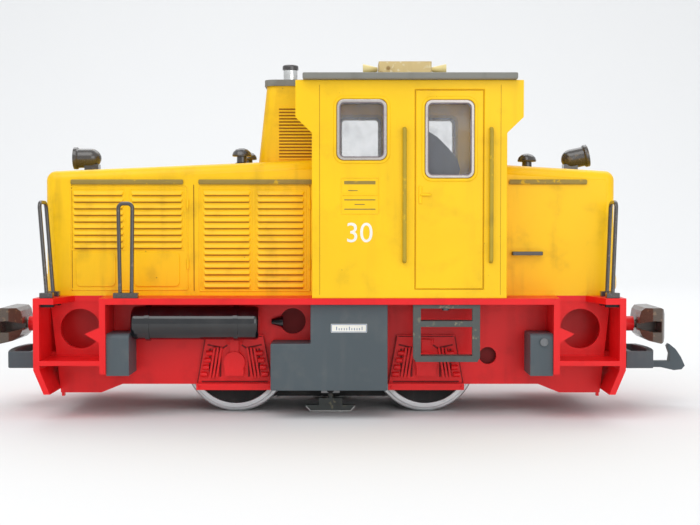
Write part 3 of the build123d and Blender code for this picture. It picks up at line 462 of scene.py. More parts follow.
def finish_bmesh(bm, name, mirror_y=False, smooth_deg=35):
    """Scale to metres, optionally add the other side, merge and face outwards."""
    if mirror_y:
        twin = bmesh.ops.duplicate(bm, geom=bm.verts[:] + bm.edges[:] + bm.faces[:])
        twins = [item for item in twin["geom"] if isinstance(item, bmesh.types.BMVert)]
        bmesh.ops.scale(bm, verts=twins, vec=(1, -1, 1))
    bmesh.ops.scale(bm, verts=bm.verts, vec=(MM, MM, MM))
    bmesh.ops.remove_doubles(bm, verts=bm.verts, dist=0.0005 * MM)
    bmesh.ops.recalc_face_normals(bm, faces=bm.faces)
    mesh = bpy.data.meshes.new(name)
    bm.to_mesh(mesh)
    bm.free()
    for face in mesh.polygons:
        face.use_smooth = True
    mesh.set_sharp_from_angle(angle=math.radians(smooth_deg))
    return mesh


def box_mm(node):
    """A CAD node's two corners in millimetres."""
    low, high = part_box(node)
    return [value / MM for value in low], [value / MM for value in high]


HOOD_FACE = box_mm("long_hood")[0][1]
CAB_FACE = box_mm("cab_shell")[0][1]
print("hood side at", round(HOOD_FACE, 2), "cab side at", round(CAB_FACE, 2))

# %% [markdown]
# ## Slabs, rims and plates
# Nearly every moulded detail is one of three things on a side plane: a plain slab, a
# domed rim round a panel, or a flat plate with a chamfered edge. Rims and plates are
# built ring by ring, so they are closed and their corners are round. Their roots are
# sunk a little into the moulding behind, which leaves no gap.

# %% Slabs, rims and plates
ROOT = 0.2


def add_slab(bm, x0, x1, y0, y1, z0, z1):
    """A box between two corners."""
    made = bmesh.ops.create_cube(bm, size=1.0)["verts"]
    middle = ((x0 + x1) / 2, (y0 + y1) / 2, (z0 + z1) / 2)
    bmesh.ops.scale(bm, verts=made, vec=(abs(x1 - x0), abs(y1 - y0), abs(z1 - z0)))
    bmesh.ops.translate(bm, verts=made, vec=middle)
    return made


def rounded_outline(x0, x1, z0, z1, radius, steps=6):
    """Points round a rectangle with round corners, in the side view."""
    corners = ((x1 - radius, z1 - radius, 0), (x0 + radius, z1 - radius, 90),
               (x0 + radius, z0 + radius, 180), (x1 - radius, z0 + radius, 270))
    points = []
    for cx, cz, start in corners:
        for index in range(steps + 1):
            turn = math.radians(start + 90 * index / steps)
            points.append((cx + radius * math.cos(turn), cz + radius * math.sin(turn)))
    return points


def add_rim(bm, span, radius, width, face_y, stand):
    """A raised rim that follows a rounded rectangle (x0, x1, z0, z1), domed in section."""
    x0, x1, z0, z1 = span
    rings = []
    for inset, lift in ((0.0, 0.0), (width * 0.18, stand * 0.75), (width * 0.5, stand),
                        (width * 0.82, stand * 0.75), (width, 0.0)):
        outline = rounded_outline(x0 + inset, x1 - inset, z0 + inset, z1 - inset, max(radius - inset, 0.15))
        rings.append([bm.verts.new((x, face_y - lift, z)) for x, z in outline])
    rings.append([bm.verts.new((v.co.x, face_y + ROOT, v.co.z)) for v in rings[-1]])
    rings.append([bm.verts.new((v.co.x, face_y + ROOT, v.co.z)) for v in rings[0]])
    count = len(rings[0])
    for ring, follower in zip(rings, rings[1:] + rings[:1]):
        for index in range(count):
            after = (index + 1) % count
            bm.faces.new((ring[index], ring[after], follower[after], follower[index]))


def add_plate(bm, span, radius, face_y, stand, edge=0.25):
    """A raised plate with a rounded outline and a chamfered edge, standing off a side."""
    x0, x1, z0, z1 = span
    rings = []
    for inset, y in ((0.0, face_y + ROOT), (0.0, face_y - stand + edge), (edge, face_y - stand)):
        outline = rounded_outline(x0 + inset, x1 - inset, z0 + inset, z1 - inset, max(radius - inset, 0.1))
        rings.append([bm.verts.new((x, y, z)) for x, z in outline])
    count = len(rings[0])
    for ring, follower in zip(rings, rings[1:]):
        for index in range(count):
            after = (index + 1) % count
            bm.faces.new((ring[index], ring[after], follower[after], follower[index]))
    bm.faces.new(rings[-1])
    bm.faces.new(list(reversed(rings[0])))


print("a rounded outline has", len(rounded_outline(0.0, 4.0, 0.0, 3.0, 0.5)), "points")

# %% [markdown]
# ## Louvres by Geometry Nodes
# The long hood's doors are full of pressed louvres, all alike: a shallow scoop with its
# mouth at the bottom. One scoop is modelled, and a small node tree repeats it down a
# column with a count and a pitch. The tree ends in Realize Instances and Set Material,
# and the evaluated result is kept as a plain mesh.

# %% A node tree that repeats a piece along a line
def repeat_tree(name, skin):
    """Inputs: the piece, how many, and the step from one to the next."""
    tree = bpy.data.node_groups.new(name, "GeometryNodeTree")
    make = tree.interface.new_socket
    make("Geometry", in_out="OUTPUT", socket_type="NodeSocketGeometry")
    make("Geometry", in_out="INPUT", socket_type="NodeSocketGeometry")
    make("Count", in_out="INPUT", socket_type="NodeSocketInt")
    make("Start", in_out="INPUT", socket_type="NodeSocketVector")
    make("Step", in_out="INPUT", socket_type="NodeSocketVector")
    group_in = tree.nodes.new("NodeGroupInput")
    group_out = tree.nodes.new("NodeGroupOutput")
    line = tree.nodes.new("GeometryNodeMeshLine")
    line.mode = "OFFSET"
    instance = tree.nodes.new("GeometryNodeInstanceOnPoints")
    real = tree.nodes.new("GeometryNodeRealizeInstances")
    paint = tree.nodes.new("GeometryNodeSetMaterial")
    paint.inputs["Material"].default_value = skins[skin]
    link = tree.links.new
    link(group_in.outputs["Count"], line.inputs["Count"])
    link(group_in.outputs["Start"], line.inputs["Start Location"])
    link(group_in.outputs["Step"], line.inputs["Offset"])
    link(line.outputs["Mesh"], instance.inputs["Points"])
    link(group_in.outputs["Geometry"], instance.inputs["Instance"])
    link(instance.outputs["Instances"], real.inputs["Geometry"])
    link(real.outputs["Geometry"], paint.inputs["Geometry"])
    link(paint.outputs["Geometry"], group_out.inputs["Geometry"])
    return tree


print("repeat tree ready")

# %% [markdown]
# ### Keeping the result
# The tree runs as a modifier on a throwaway carrier. Its evaluated mesh is copied, the
# carrier goes, and the columns are joined into one piece.

# %% Running the tree and joining meshes
def repeated(mesh, tree, count, start, step):
    """The tree's result as a plain mesh. start and step are in millimetres."""
    carrier = bpy.data.objects.new("carrier", mesh)
    bpy.context.scene.collection.objects.link(carrier)
    modifier = carrier.modifiers.new("repeat", "NODES")
    modifier.node_group = tree
    values = {"Count": count, "Start": [v * MM for v in start], "Step": [v * MM for v in step]}
    for item in tree.interface.items_tree:
        if item.in_out == "INPUT" and item.name in values:
            modifier[item.identifier] = values[item.name]
    depsgraph = bpy.context.evaluated_depsgraph_get()
    result = bpy.data.meshes.new_from_object(carrier.evaluated_get(depsgraph))
    carrier.modifiers.remove(modifier)
    bpy.data.objects.remove(carrier)
    return result


def joined(meshes, name):
    """Several plain meshes as one."""
    bm = bmesh.new()
    for mesh in meshes:
        bm.from_mesh(mesh)
    out = bpy.data.meshes.new(name)
    bm.to_mesh(out)
    bm.free()
    for face in out.polygons:
        face.use_smooth = True
    out.set_sharp_from_angle(angle=math.radians(35))
    return out


print("node groups so far", len(bpy.data.node_groups))

# %% [markdown]
# ### One scoop
# Seen from the end, a louvre is a wedge: it leaves the door at its top edge and stands
# out furthest at its bottom edge, where it turns back in. Its two ends are rounded.

# %% One louvre
LOUVRE_PITCH = 3.07
LOUVRE_TOP = 104.2
LOUVRE_DEEP = 1.0
LOUVRE_TALL = 2.15
LOUVRE_END = 0.9
SHORT_COUNT = 9
LONG_COUNT = 15
COLUMNS = ((-119.6, -95.9, SHORT_COUNT), (-92.6, -68.5, SHORT_COUNT),
           (-59.0, -37.0, LONG_COUNT), (-34.1, -12.0, LONG_COUNT))


def louvre_mesh(length, side):
    """A scoop along X from the origin, on the side plane; side is -1 or 1."""
    bm = bmesh.new()
    end = LOUVRE_END
    section = ((0.0, 0.0), (0.45, -0.55), (0.8, -1.25), (1.0, -1.8), (0.92, -2.0),
               (0.0, -LOUVRE_TALL))
    stations = ((0.0, 0.04), (end * 0.35, 0.62), (end, 1.0),
                (length - end, 1.0), (length - end * 0.35, 0.62), (length, 0.04))
    rings = []
    for x, share in stations:
        ring = []
        for out, down in section:
            ring.append(bm.verts.new((x, side * out * LOUVRE_DEEP * share, down * (0.55 + 0.45 * share))))
        rings.append(ring)
    for ring, follower in zip(rings, rings[1:]):
        for index in range(len(section)):
            after = (index + 1) % len(section)
            bm.faces.new((ring[index], ring[after], follower[after], follower[index]))
    bm.faces.new(rings[0])
    bm.faces.new(rings[-1])
    return finish_bmesh(bm, "scoop", smooth_deg=50)


print("louvre", LOUVRE_TALL, "mm tall, every", LOUVRE_PITCH, "mm")

# %% [markdown]
# ### The columns of louvres
# Two columns on each half of the hood, nine scoops high in front and fifteen behind. The
# same columns are used on both sides.

# %% Louvre columns on both sides
louvre_tree = repeat_tree("louvre_column", "hood_yellow")
louvres = []
for side in (-1, 1):
    for x0, x1, count in COLUMNS:
        scoop = louvre_mesh(x1 - x0, side)
        start = (x0, side * (abs(HOOD_FACE) - 0.05), LOUVRE_TOP)
        louvres.append(repeated(scoop, louvre_tree, count, start, (0, 0, -LOUVRE_PITCH)))
louvre_piece = new_piece("hood_louvres", joined(louvres, "hood_louvres"), "hood_yellow")
print("louvres", 2 * sum(column[2] for column in COLUMNS), "faces", len(louvre_piece.data.polygons))

# %% [markdown]
# ### Painted shade in their mouths and the tower's slots
# Under each scoop a strip of painted shade marks where the air goes in. The exhaust tower
# has plain narrow slots instead, so each is only a bar of painted shade laid on its side.

# %% Painted shade in the louvre mouths and tower slots
MOUTH_SHADE_INSET = 0.7
# Every bar made below is painted shade, in a louvre's mouth or in a tower slot.
shade_bar_tree = repeat_tree("louvre_mouth_shade", "joint_and_shade_brown")
mouth_shade_rows = []
for side in (-1, 1):
    for x0, x1, count in COLUMNS:
        bm = bmesh.new()
        length = x1 - x0
        add_slab(bm, MOUTH_SHADE_INSET, length - MOUTH_SHADE_INSET, 0.0, side * 0.2, -LOUVRE_TALL - 0.5,
                 -LOUVRE_TALL + 0.1)
        start = (x0, side * (abs(HOOD_FACE) - 0.08), LOUVRE_TOP)
        mouth_shade_bar = finish_bmesh(bm, "mouth_shade_bar")
        mouth_shade_rows.append(repeated(mouth_shade_bar, shade_bar_tree, count, start, (0, 0, -LOUVRE_PITCH)))
TOWER_FACE = 17.5
TOWER_SLOTS = 16
TOWER_PITCH = 1.5
TOWER_FIRST = 120.1
TOWER_SLOT_FRONT = -24.4
TOWER_SLOT_REAR = box_mm("exhaust_tower")[1][0] - 0.4
TOWER_SLOT_TALL = 0.68
for side in (-1, 1):
    bm = bmesh.new()
    add_slab(bm, TOWER_SLOT_FRONT, TOWER_SLOT_REAR, 0.0, side * 0.15, 0.0, TOWER_SLOT_TALL)
    start = (0, side * (TOWER_FACE - 0.03), TOWER_FIRST)
    slot_shade_bar = finish_bmesh(bm, "slot_shade_bar")
    mouth_shade_rows.append(repeated(slot_shade_bar, shade_bar_tree, TOWER_SLOTS, start, (0, 0, TOWER_PITCH)))
new_piece("louvre_mouth_shade", joined(mouth_shade_rows, "louvre_mouth_shade"), "joint_and_shade_brown")
print("rows of mouths and slots", len(mouth_shade_rows))

# %% [markdown]
# ## Door rims, pads and hinges on the long hood
# Fine raised rims frame each door, and two plain pads with round corners fill the front
# door below its louvres. Hinge knuckles sit on the rear edge of each door. Spans here
# are x from, x to, z from, z to.

# %% Door rims, pads, hinges
HOOD_DOORS = ((-120.9, -66.0, 57.8, 106.6), (-61.2, -9.2, 57.2, 106.6))
HOOD_PADS = ((-118.4, -99.8, 59.6, 75.6), (-91.4, -70.0, 59.6, 75.6))
HINGE_XS = (-66.3, -9.6)
HINGE_LOWEST = 70.0
HINGE_STEP = 27.8
KNUCKLE_RADIUS = 0.75
KNUCKLE_LENGTH = 4.2

bm = bmesh.new()
for span in HOOD_DOORS:
    add_rim(bm, span, 1.2, 0.7, HOOD_FACE, 0.3)
for x0, x1, count in COLUMNS:
    low = LOUVRE_TOP - LOUVRE_PITCH * count - 0.2
    add_rim(bm, (x0 - 1.0, x1 + 1.0, low, LOUVRE_TOP + 0.9), 0.9, 0.5, HOOD_FACE, 0.18)
for span in HOOD_PADS:
    add_plate(bm, span, 2.2, HOOD_FACE, 0.45)
new_piece("hood_door_rims", finish_bmesh(bm, "hood_door_rims", True), "hood_yellow")

knuckle = bmesh.new()
bmesh.ops.create_cone(knuckle, cap_ends=True, segments=12, radius1=KNUCKLE_RADIUS,
                      radius2=KNUCKLE_RADIUS, depth=KNUCKLE_LENGTH)
knuckle_mesh = finish_bmesh(knuckle, "knuckle")
hinge_tree = repeat_tree("hinge_row", "hood_yellow")
hinges = []
for side in (-1, 1):
    for x in HINGE_XS:
        start = (x, side * (abs(HOOD_FACE) + 0.15), HINGE_LOWEST)
        hinges.append(repeated(knuckle_mesh, hinge_tree, 2, start, (0, 0, HINGE_STEP)))
new_piece("hood_hinges", joined(hinges, "hood_hinges"), "hood_yellow")
print("rows of hinges", len(hinges))

# %% [markdown]
# ## Cab mouldings
# Around each silver window frame the cab has a soft raised bead. The door carries a small
# handle, and a plate is moulded below the front window: a frame with one rule across it.

# %% Window beads, door handles and plate
SIDE_WINDOW = (3.2, 25.7, 117.3, 144.6)
DOOR_WINDOW = (42.7, 64.9, 109.3, 144.3)
BEAD = 1.5
HANDLE_BASE = (39.9, 41.5, 97.8, 105.9)
HANDLE_LEVER = (40.6, 45.6, 101.4, 102.4)
PLATE_FRAME = (5.1, 22.2, 93.2, 109.8)
PLATE_RULE = (5.5, 21.8, 101.6, 102.4)


def grown(span, by):
    """A span (x0, x1, z0, z1) made larger on all four sides."""
    x0, x1, z0, z1 = span
    return x0 - by, x1 + by, z0 - by, z1 + by


bm = bmesh.new()
for window in (SIDE_WINDOW, DOOR_WINDOW):
    add_rim(bm, grown(window, BEAD), 4.6, BEAD, CAB_FACE, 0.45)
add_plate(bm, HANDLE_BASE, 0.5, CAB_FACE, 0.45)
add_plate(bm, HANDLE_LEVER, 0.4, CAB_FACE - 0.4, 0.6)
add_rim(bm, PLATE_FRAME, 0.5, 0.5, CAB_FACE, 0.25)
add_plate(bm, PLATE_RULE, 0.2, CAB_FACE, 0.25, 0.1)
cab_piece = new_piece("cab_mouldings", finish_bmesh(bm, "cab_mouldings", True), "cab_yellow")
print("cab moulding faces", len(cab_piece.data.polygons))

# %% [markdown]
# ### The lines of the plate, the painted frame shade and the panel lines
# A few plain bars stand for the plate's raised lines. A mauve-grey ring of painted shade
# runs round the inside of each window frame, and thin brown lines show where the door,
# the corner pillars and the hood doors meet the body.

# %% Plate bars, painted frame shade and panel lines
FRAME_SHADE_INSET = 1.15
LINE_GAP = 0.4
PILLAR_XS = (-4.5, 76.6)
PILLAR_WIDE = 0.22
PILLAR_Z = (57.0, 151.0)
DOOR_LINE = (38.28, 69.22, 59.38, 148.92)
HOOD_SEAM_XS = (-120.4, -63.65, -9.6)
SEAM_Z = (57.6, 106.9)
PLATE_BARS = ((106.6, 6.6, 20.6, 1.5), (103.6, 8.4, 12.6, 0.4), (99.4, 6.6, 20.6, 0.5),
              (97.4, 11.2, 15.8, 0.4), (95.2, 6.6, 20.6, 0.5))

bm = bmesh.new()
for z, x0, x1, tall in PLATE_BARS:
    add_plate(bm, (x0, x1, z, z + tall), 0.15, CAB_FACE, 0.12, 0.05)
new_piece("plate_bars", finish_bmesh(bm, "plate_bars", True), "strip_olive")

# A mauve-grey ring of painted shade round the inside of each window frame.
bm = bmesh.new()
for window in (SIDE_WINDOW, DOOR_WINDOW):
    add_rim(bm, grown(window, -FRAME_SHADE_INSET), 2.4, 0.6, CAB_FACE - 0.42, 0.16)
new_piece("window_frame_shade", finish_bmesh(bm, "window_frame_shade", True), "frame_shade_grey")

bm = bmesh.new()
for window in (SIDE_WINDOW, DOOR_WINDOW):
    add_rim(bm, grown(window, LINE_GAP), 3.8, 0.5, CAB_FACE, 0.14)
for x in PILLAR_XS:
    add_slab(bm, x, x + PILLAR_WIDE, CAB_FACE - 0.03, CAB_FACE + 0.1, *PILLAR_Z)
add_rim(bm, DOOR_LINE, 0.2, 0.34, CAB_FACE + 0.33, 0.06)
for x in HOOD_SEAM_XS:
    add_slab(bm, x + 0.06, x + 0.44, HOOD_FACE + 0.18, HOOD_FACE + 0.33, *SEAM_Z)
line_piece = new_piece("panel_lines", finish_bmesh(bm, "panel_lines", True), "joint_and_shade_brown")
print("panel line faces", len(line_piece.data.polygons))

# %% [markdown]
# ### The running number
# The digits are a text curve turned into a mesh and fitted to a small box on the cab
# side. The far side gets the same digits, turned so that they read the right way round.

# %% Running number
NUMBER_SPAN = (7.9, 19.3, 80.6, 89.4)
NUMBER_STAND = 0.12


def number_mesh(text, span, face_y, side):
    """Digits as a thin raised mesh on the side plane, filling a span (x0, x1, z0, z1)."""
    x0, x1, z0, z1 = span
    curve = bpy.data.curves.new("digits", "FONT")
    curve.body = text
    curve.extrude = 0.004
    curve.resolution_u = 6
    holder = bpy.data.objects.new("digits", curve)
    bpy.context.scene.collection.objects.link(holder)
    depsgraph = bpy.context.evaluated_depsgraph_get()
    mesh = bpy.data.meshes.new_from_object(holder.evaluated_get(depsgraph))
    bpy.data.objects.remove(holder)
    low = [min(v.co[i] for v in mesh.vertices) for i in range(3)]
    high = [max(v.co[i] for v in mesh.vertices) for i in range(3)]
    for vertex in mesh.vertices:
        u = (vertex.co.x - low[0]) / (high[0] - low[0])
        v = (vertex.co.y - low[1]) / (high[1] - low[1])
        w = (vertex.co.z - low[2]) / (high[2] - low[2])
        x = x0 + (x1 - x0) * (u if side < 0 else 1 - u)
        vertex.co = Vector((x, side * (abs(face_y) + NUMBER_STAND * w), z0 + (z1 - z0) * v)) * MM
    return mesh


digits = [number_mesh("30", NUMBER_SPAN, CAB_FACE, side) for side in (-1, 1)]
new_piece("cab_numbers", joined(digits, "cab_numbers"), "marking_white")
print("number on", len(digits), "sides")

# %% [markdown]
# ## The fuel label
# Each fuel tank carries a small white sticker: a blue border and a row of gauge ticks,
# where every fifth tick is a tall one.

# %% Fuel label
TANK_FACE = box_mm("fuel_tank_left")[0][1]
LABEL_SPAN = (0.6, 16.9, 39.8, 43.7)
TICK_COUNT = 11
TICK_FIRST = 3.0
TICK_PITCH = 1.15
TICK_WIDE = 0.3
TICK_FOOT = 40.9

bm = bmesh.new()
add_plate(bm, LABEL_SPAN, 0.3, TANK_FACE, 0.1, 0.04)
new_piece("fuel_label", finish_bmesh(bm, "fuel_label", True), "marking_white")
bm = bmesh.new()
add_rim(bm, grown(LABEL_SPAN, -0.15), 0.3, 0.3, TANK_FACE - 0.08, 0.06)
for index in range(TICK_COUNT):
    tall = 1.6 if index % 5 == 0 else 0.9
    x = TICK_FIRST + TICK_PITCH * index
    add_slab(bm, x, x + TICK_WIDE, TANK_FACE - 0.13, TANK_FACE - 0.05, TICK_FOOT, TICK_FOOT + tall)
new_piece("fuel_label_marks", finish_bmesh(bm, "fuel_label_marks", True), "marking_blue")
print("label on tank face", round(TANK_FACE, 2))

# %% [markdown]
# ## The moulded springs
# Each axlebox cover has a leaf spring in relief. Thin plates and bars of painted shade lie
# in its hollows, because they are too shallow to darken by themselves at this size. Two
# slabs of painted shade also stand behind openings in the frame, on each side.

# %% Painted shade in the spring hollows
AXLE_X = 44.5
COVER_FACE = -32.3
HOLLOW_STAND = 0.16
SLOT_FIRST = 6.2
SLOT_PITCH = 1.6
SLOT_WIDE = 0.9
SLOT_Z = (17.6, 30.8)
SHADED_INNER_WALL_Y = (-26.6, -26.0)
SHADED_INNER_WALLS = ((-25.0, -10.0, 36.5, 50.5), (67.5, 79.5, 21.0, 33.5))


def add_stripe(bm, start, stop, width, face_y, stand=HOLLOW_STAND):
    """A thin flat bar between two (x, z) points on a side plane."""
    run = Vector((stop[0] - start[0], stop[1] - start[1]))
    across = Vector((-run.y, run.x)).normalized() * width / 2
    corners = [Vector(start) + across, Vector(start) - across, Vector(stop) - across, Vector(stop) + across]
    front = [bm.verts.new((c.x, face_y - stand, c.y)) for c in corners]
    back = [bm.verts.new((c.x, face_y + ROOT, c.y)) for c in corners]
    bm.faces.new(front)
    bm.faces.new(list(reversed(back)))
    for index in range(4):
        after = (index + 1) % 4
        bm.faces.new((front[after], front[index], back[index], back[after]))


# Plates and bars of painted shade in the hollows of each spring.
bm = bmesh.new()
for middle in (-AXLE_X, AXLE_X):
    for sign in (-1, 1):
        for step in range(4):
            near = SLOT_FIRST + SLOT_PITCH * step
            x0, x1 = sorted((middle + sign * near, middle + sign * (near + SLOT_WIDE)))
            add_plate(bm, (x0, x1, *SLOT_Z), 0.3, COVER_FACE, HOLLOW_STAND, 0.05)
    add_plate(bm, (middle - 15.4, middle + 15.4, 15.0, 15.7), 0.3, COVER_FACE, HOLLOW_STAND, 0.05)
    add_plate(bm, (middle - 12.8, middle + 12.8, 36.2, 36.6), 0.15, COVER_FACE, HOLLOW_STAND, 0.05)
    for sign in (-1, 1):
        add_stripe(bm, (middle + sign * 17.3, 14.9), (middle + sign * 13.5, 36.4), 0.45, COVER_FACE)
        add_stripe(bm, (middle + sign * 12.6, 32.6), (middle + sign * 5.4, 31.0), 0.7, COVER_FACE)
        add_stripe(bm, (middle + sign * 5.4, 31.0), (middle + sign * 3.4, 32.4), 0.7, COVER_FACE)
# Dark red slabs behind the frame openings: painted shade on the inner wall.
for x0, x1, z0, z1 in SHADED_INNER_WALLS:
    add_slab(bm, x0, x1, *SHADED_INNER_WALL_Y, z0, z1)
hollow_shade_piece = new_piece("spring_hollow_shade", finish_bmesh(bm, "spring_hollow_shade", True), "shadow_red")
print("spring hollow faces", len(hollow_shade_piece.data.polygons))

# %% [markdown]
# ### Brackets and bolts
# A bracket clamps each spring at its middle, and round-headed bolts hold it. A plate
# whose corner radius nearly equals half its width is a good small round head.

# %% Spring brackets
BOLT_HALF = 0.6
BOLT_RADIUS = 0.55


def add_bolt(bm, x, low, face_y, stand):
    """A round bolt head on a side plane, with its foot at the height low."""
    span = (x - BOLT_HALF, x + BOLT_HALF, low, low + 2 * BOLT_HALF)
    add_plate(bm, span, BOLT_RADIUS, face_y, stand)


bm = bmesh.new()
for middle in (-AXLE_X, AXLE_X):
    add_plate(bm, (middle - 3.6, middle + 3.6, 33.0, 35.4), 0.5, COVER_FACE, 1.1)
    for sign in (-1, 1):
        add_bolt(bm, middle + sign * 2.3, 33.6, COVER_FACE - 1.0, 0.5)
        add_bolt(bm, middle + sign * 16.2, 12.6, COVER_FACE - 3.2, 0.35)
brackets = new_piece("spring_brackets", finish_bmesh(bm, "spring_brackets", True), "frame_red")
print("bracket faces", len(brackets.data.polygons))

# %% [markdown]
# ## Pipe and painted slit shade
# A stub of pipe runs between the air tank and the frame. It is a cone laid on its side.
# A small flat black block sits on the deck at each foot of the corner rails: painted shade for the dark
# slit there.

# %% Tank pipe and painted shade at the rail feet
PIPE_THIN = 1.2
PIPE_THICK = 3.0
PIPE_LENGTH = 5.4
PIPE_PLACE = (-24.6, -31.8, 43.4)
RAIL_X = 127.8
RAIL_YS = (-49.0, -36.5)
SLIT_SHADE_Z = (51.3, 52.55)
SLIT_SHADE_HALF_X = 3.2
SLIT_SHADE_HALF_Y = 1.6

bm = bmesh.new()
pipe = bmesh.ops.create_cone(bm, cap_ends=True, segments=32, radius1=PIPE_THIN, radius2=PIPE_THICK,
                             depth=PIPE_LENGTH)["verts"]
bmesh.ops.rotate(bm, verts=pipe, cent=(0, 0, 0), matrix=Euler((0, math.pi / 2, 0)).to_matrix())
bmesh.ops.translate(bm, verts=pipe, vec=PIPE_PLACE)
new_piece("tank_pipe", finish_bmesh(bm, "tank_pipe", True), "gloss_black")

# Black blocks of painted shade for the slits at the feet of the corner rails.
bm = bmesh.new()
for sign in (-1, 1):
    for y in RAIL_YS:
        x = sign * RAIL_X
        add_slab(bm, x - SLIT_SHADE_HALF_X, x + SLIT_SHADE_HALF_X, y - SLIT_SHADE_HALF_Y, y + SLIT_SHADE_HALF_Y, *SLIT_SHADE_Z)
new_piece("rail_foot_shade", finish_bmesh(bm, "rail_foot_shade", True), "matt_black")
print("pipe at", PIPE_PLACE)

# %% [markdown]
# ## The pickup shoes
# Each shoe slides on the rail head, so its sole is bright and worn, with ends that slope
# up like a ski. The sole rides on the shoe's own body and lifts with it.

# %% Shoe soles
SOLE_SIDE = 0.12
SOLE_FOOT = 0.03
SOLE_TOP = 0.75
SOLE_SETBACK = 2.4
RAMP_LENGTH = 2.3
RAMP_TOP = 0.7
RAMP_RISE = 2.4

for side_name in ("left", "right"):
    low, high = box_mm(f"pickup_shoe_{side_name}")
    bm = bmesh.new()
    y0, y1 = low[1] - SOLE_SIDE, high[1] + SOLE_SIDE
    foot = low[2] + SOLE_FOOT
    add_slab(bm, low[0] + SOLE_SETBACK, high[0] - SOLE_SETBACK, y0, y1, foot, low[2] + SOLE_TOP)
    for end in (low[0], high[0]):
        inward = RAMP_LENGTH if end < 0 else -RAMP_LENGTH
        x0, x1 = sorted((end + 0.1 * inward, end + 1.1 * inward))
        ramp = add_slab(bm, x0, x1, y0, y1, foot, low[2] + RAMP_TOP)
        for vertex in ramp:
            vertex.co.z += RAMP_RISE * (end + inward - vertex.co.x) / inward
    name = f"shoe_sole_{side_name}"
    new_piece(name, finish_bmesh(bm, name), "plated_steel", f"{side_name}_shoe")
print("shoe sole foot at", round(foot, 2), "mm")

# %% [markdown]
# ### The shoe guides
# A pale bracket with a dark round eye shows on the guide that each shoe slides in.

# %% Shoe brackets
GUIDE_FACE = -27.2
BRACKET_BOX = (-4.3, 4.3, GUIDE_FACE - 0.4, GUIDE_FACE + 0.1, 9.4, 14.2)
EYE_SPAN = (-1.9, 1.9, 9.3, 12.6)
EYE_RADIUS = 1.8

bm = bmesh.new()
add_slab(bm, *BRACKET_BOX)
new_piece("shoe_brackets", finish_bmesh(bm, "shoe_brackets", True), "bracket_grey")
bm = bmesh.new()
add_plate(bm, EYE_SPAN, EYE_RADIUS, GUIDE_FACE - 0.38, 0.25, 0.1)
new_piece("shoe_bracket_eyes", finish_bmesh(bm, "shoe_bracket_eyes", True), "matt_black")
print("shoe brackets at y", GUIDE_FACE)

# %% [markdown]
# ## Turning a profile
# Wheels and vents are turned forms. `lathe` spins a list of (radius, y) points about Y
# and closes the form where the list meets the axis.

# %% Lathe
def lathe(profile, steps=64):
    """A closed solid of revolution about Y. The (radius, y) points start and end on the axis."""
    bm = bmesh.new()
    rings = []
    for radius, y in profile:
        if radius == 0:
            rings.append([bm.verts.new((0, y, 0))])
            continue
        rings.append([bm.verts.new((radius * math.cos(2 * math.pi * i / steps), y,
                                    radius * math.sin(2 * math.pi * i / steps))) for i in range(steps)])
    for ring, follower in zip(rings, rings[1:]):
        for index in range(steps):
            after = (index + 1) % steps
            if len(ring) == 1:
                bm.faces.new((ring[0], follower[after], follower[index]))
            elif len(follower) == 1:
                bm.faces.new((ring[index], ring[after], follower[0]))
            else:
                bm.faces.new((ring[index], ring[after], follower[after], follower[index]))
    return bm


print("lathe ready")

# %% [markdown]
# ## Wheel centres
# Inside each bright tyre sits a dark, dished plastic centre with a raised hub. It is one
# closed lathed form, and four small studs on its web make its turning visible.

# %% Wheel centres
AXLE_Z = 24.5
WEB_DEPTH = 1.9
BACK_DEPTH = 2.55
STUD_CIRCLE = 10.5
STUD_RADIUS = 1.5
STUD_FLATNESS = 0.35


def centre_profile(face, inward):
    """From the hub to the rim and back. inward is the way from the face into the wheel."""
    web = face + inward * WEB_DEPTH
    hub = face + inward * 0.25
    back = face + inward * BACK_DEPTH
    return ((0, hub), (2.6, hub), (3.4, face + inward * 0.5), (4.6, web - inward * 0.4),
            (7.0, web + inward * 0.3), (14.0, web + inward * 0.3), (17.8, web - inward * 0.2),
            (19.9, web - inward * 0.9), (19.95, back), (0, back))


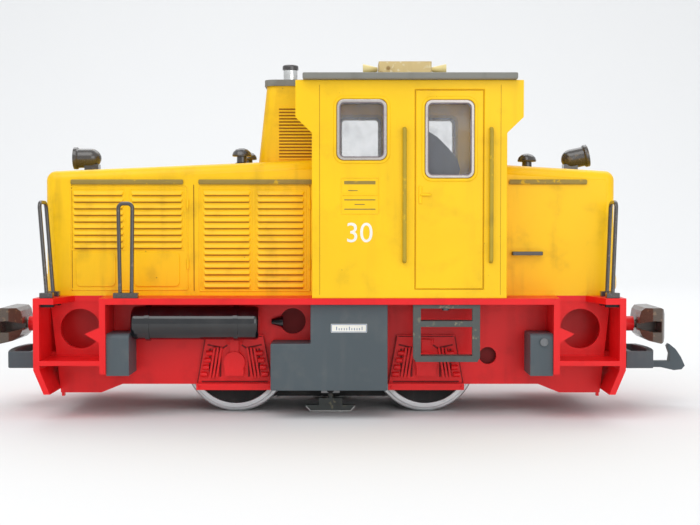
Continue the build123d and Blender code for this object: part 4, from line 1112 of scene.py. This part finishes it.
for end in ("front", "rear"):
    for side_name, side in (("left", -1), ("right", 1)):
        low, high = box_mm(f"{end}_wheel_{side_name}")
        middle_x = (low[0] + high[0]) / 2
        face = low[1] if side < 0 else high[1]
        bm = lathe(centre_profile(face, -side))
        stud_y = face - side * (WEB_DEPTH + 0.2)
        for turn in range(4):
            angle = math.pi / 2 * turn + math.pi / 4
            place = (STUD_CIRCLE * math.cos(angle), stud_y, STUD_CIRCLE * math.sin(angle))
            stud = bmesh.ops.create_uvsphere(bm, u_segments=16, v_segments=8,
                                             radius=STUD_RADIUS)["verts"]
            bmesh.ops.scale(bm, verts=stud, vec=(1, STUD_FLATNESS, 1))
            bmesh.ops.translate(bm, verts=stud, vec=place)
        bmesh.ops.translate(bm, verts=bm.verts, vec=(middle_x, 0, AXLE_Z))
        name = f"{end}_wheel_centre_{side_name}"
        new_piece(name, finish_bmesh(bm, name), "matt_black", f"{end}_wheelset")
print("wheel centres ready")

# %% [markdown]
# ## Mushroom vents
# The vents on the hoods have a stem and a cap whose rim droops. The same lathe makes
# them, its axis is tipped upright, and they stand in for the plainer CAD ones.

# %% Roof vents
VENT_PLACES = ((-42.1, -18.0, 117.0), (-42.1, 18.0, 117.0), (95.6, 0.0, 115.3))
VENT_PROFILE = ((0, -0.6), (3.1, -0.6), (3.1, 0.5), (2.4, 0.9), (2.3, 4.2), (4.4, 3.6),
                (4.6, 4.3), (4.1, 5.7), (2.8, 6.9), (1.2, 7.5), (0, 7.6))
vents = []
for x, y, foot in VENT_PLACES:
    bm = lathe(VENT_PROFILE, 40)
    bmesh.ops.rotate(bm, verts=bm.verts, cent=(0, 0, 0), matrix=Euler((math.pi / 2, 0, 0)).to_matrix())
    bmesh.ops.translate(bm, verts=bm.verts, vec=(x, y, foot))
    vents.append(finish_bmesh(bm, "vent"))
vent_piece = new_piece("mushroom_vents", joined(vents, "mushroom_vents"), "lamp_bronze")
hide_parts("roof_vents")
print("vents", len(vents))

# %% [markdown]
# ## The shape behind the door window
# Through the door glass a grey hump shows: the top of the control desk. It is one
# side outline with a rounded top, as wide as the desk, and it takes the desk's place.

# %% Desk hump
HUMP = ((36.0, 79.6), (36.0, 133.5), (38.0, 135.0), (43.6, 134.3), (50.6, 129.9), (55.8, 124.7),
        (60.1, 119.5), (61.4, 114.5), (60.0, 108.0), (58.0, 100.0), (58.0, 79.6))
desk_low, desk_high = box_mm("control_desk")
bm = bmesh.new()
near = [bm.verts.new((x, desk_low[1], z)) for x, z in HUMP]
far = [bm.verts.new((x, desk_high[1], z)) for x, z in HUMP]
bm.faces.new(near)
bm.faces.new(list(reversed(far)))
for index in range(len(HUMP)):
    after = (index + 1) % len(HUMP)
    bm.faces.new((near[after], near[index], far[index], far[after]))
desk_piece = new_piece("desk_hump", finish_bmesh(bm, "desk_hump"), "desk_grey")
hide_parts("control_desk")
print("desk hump faces", len(desk_piece.data.polygons))
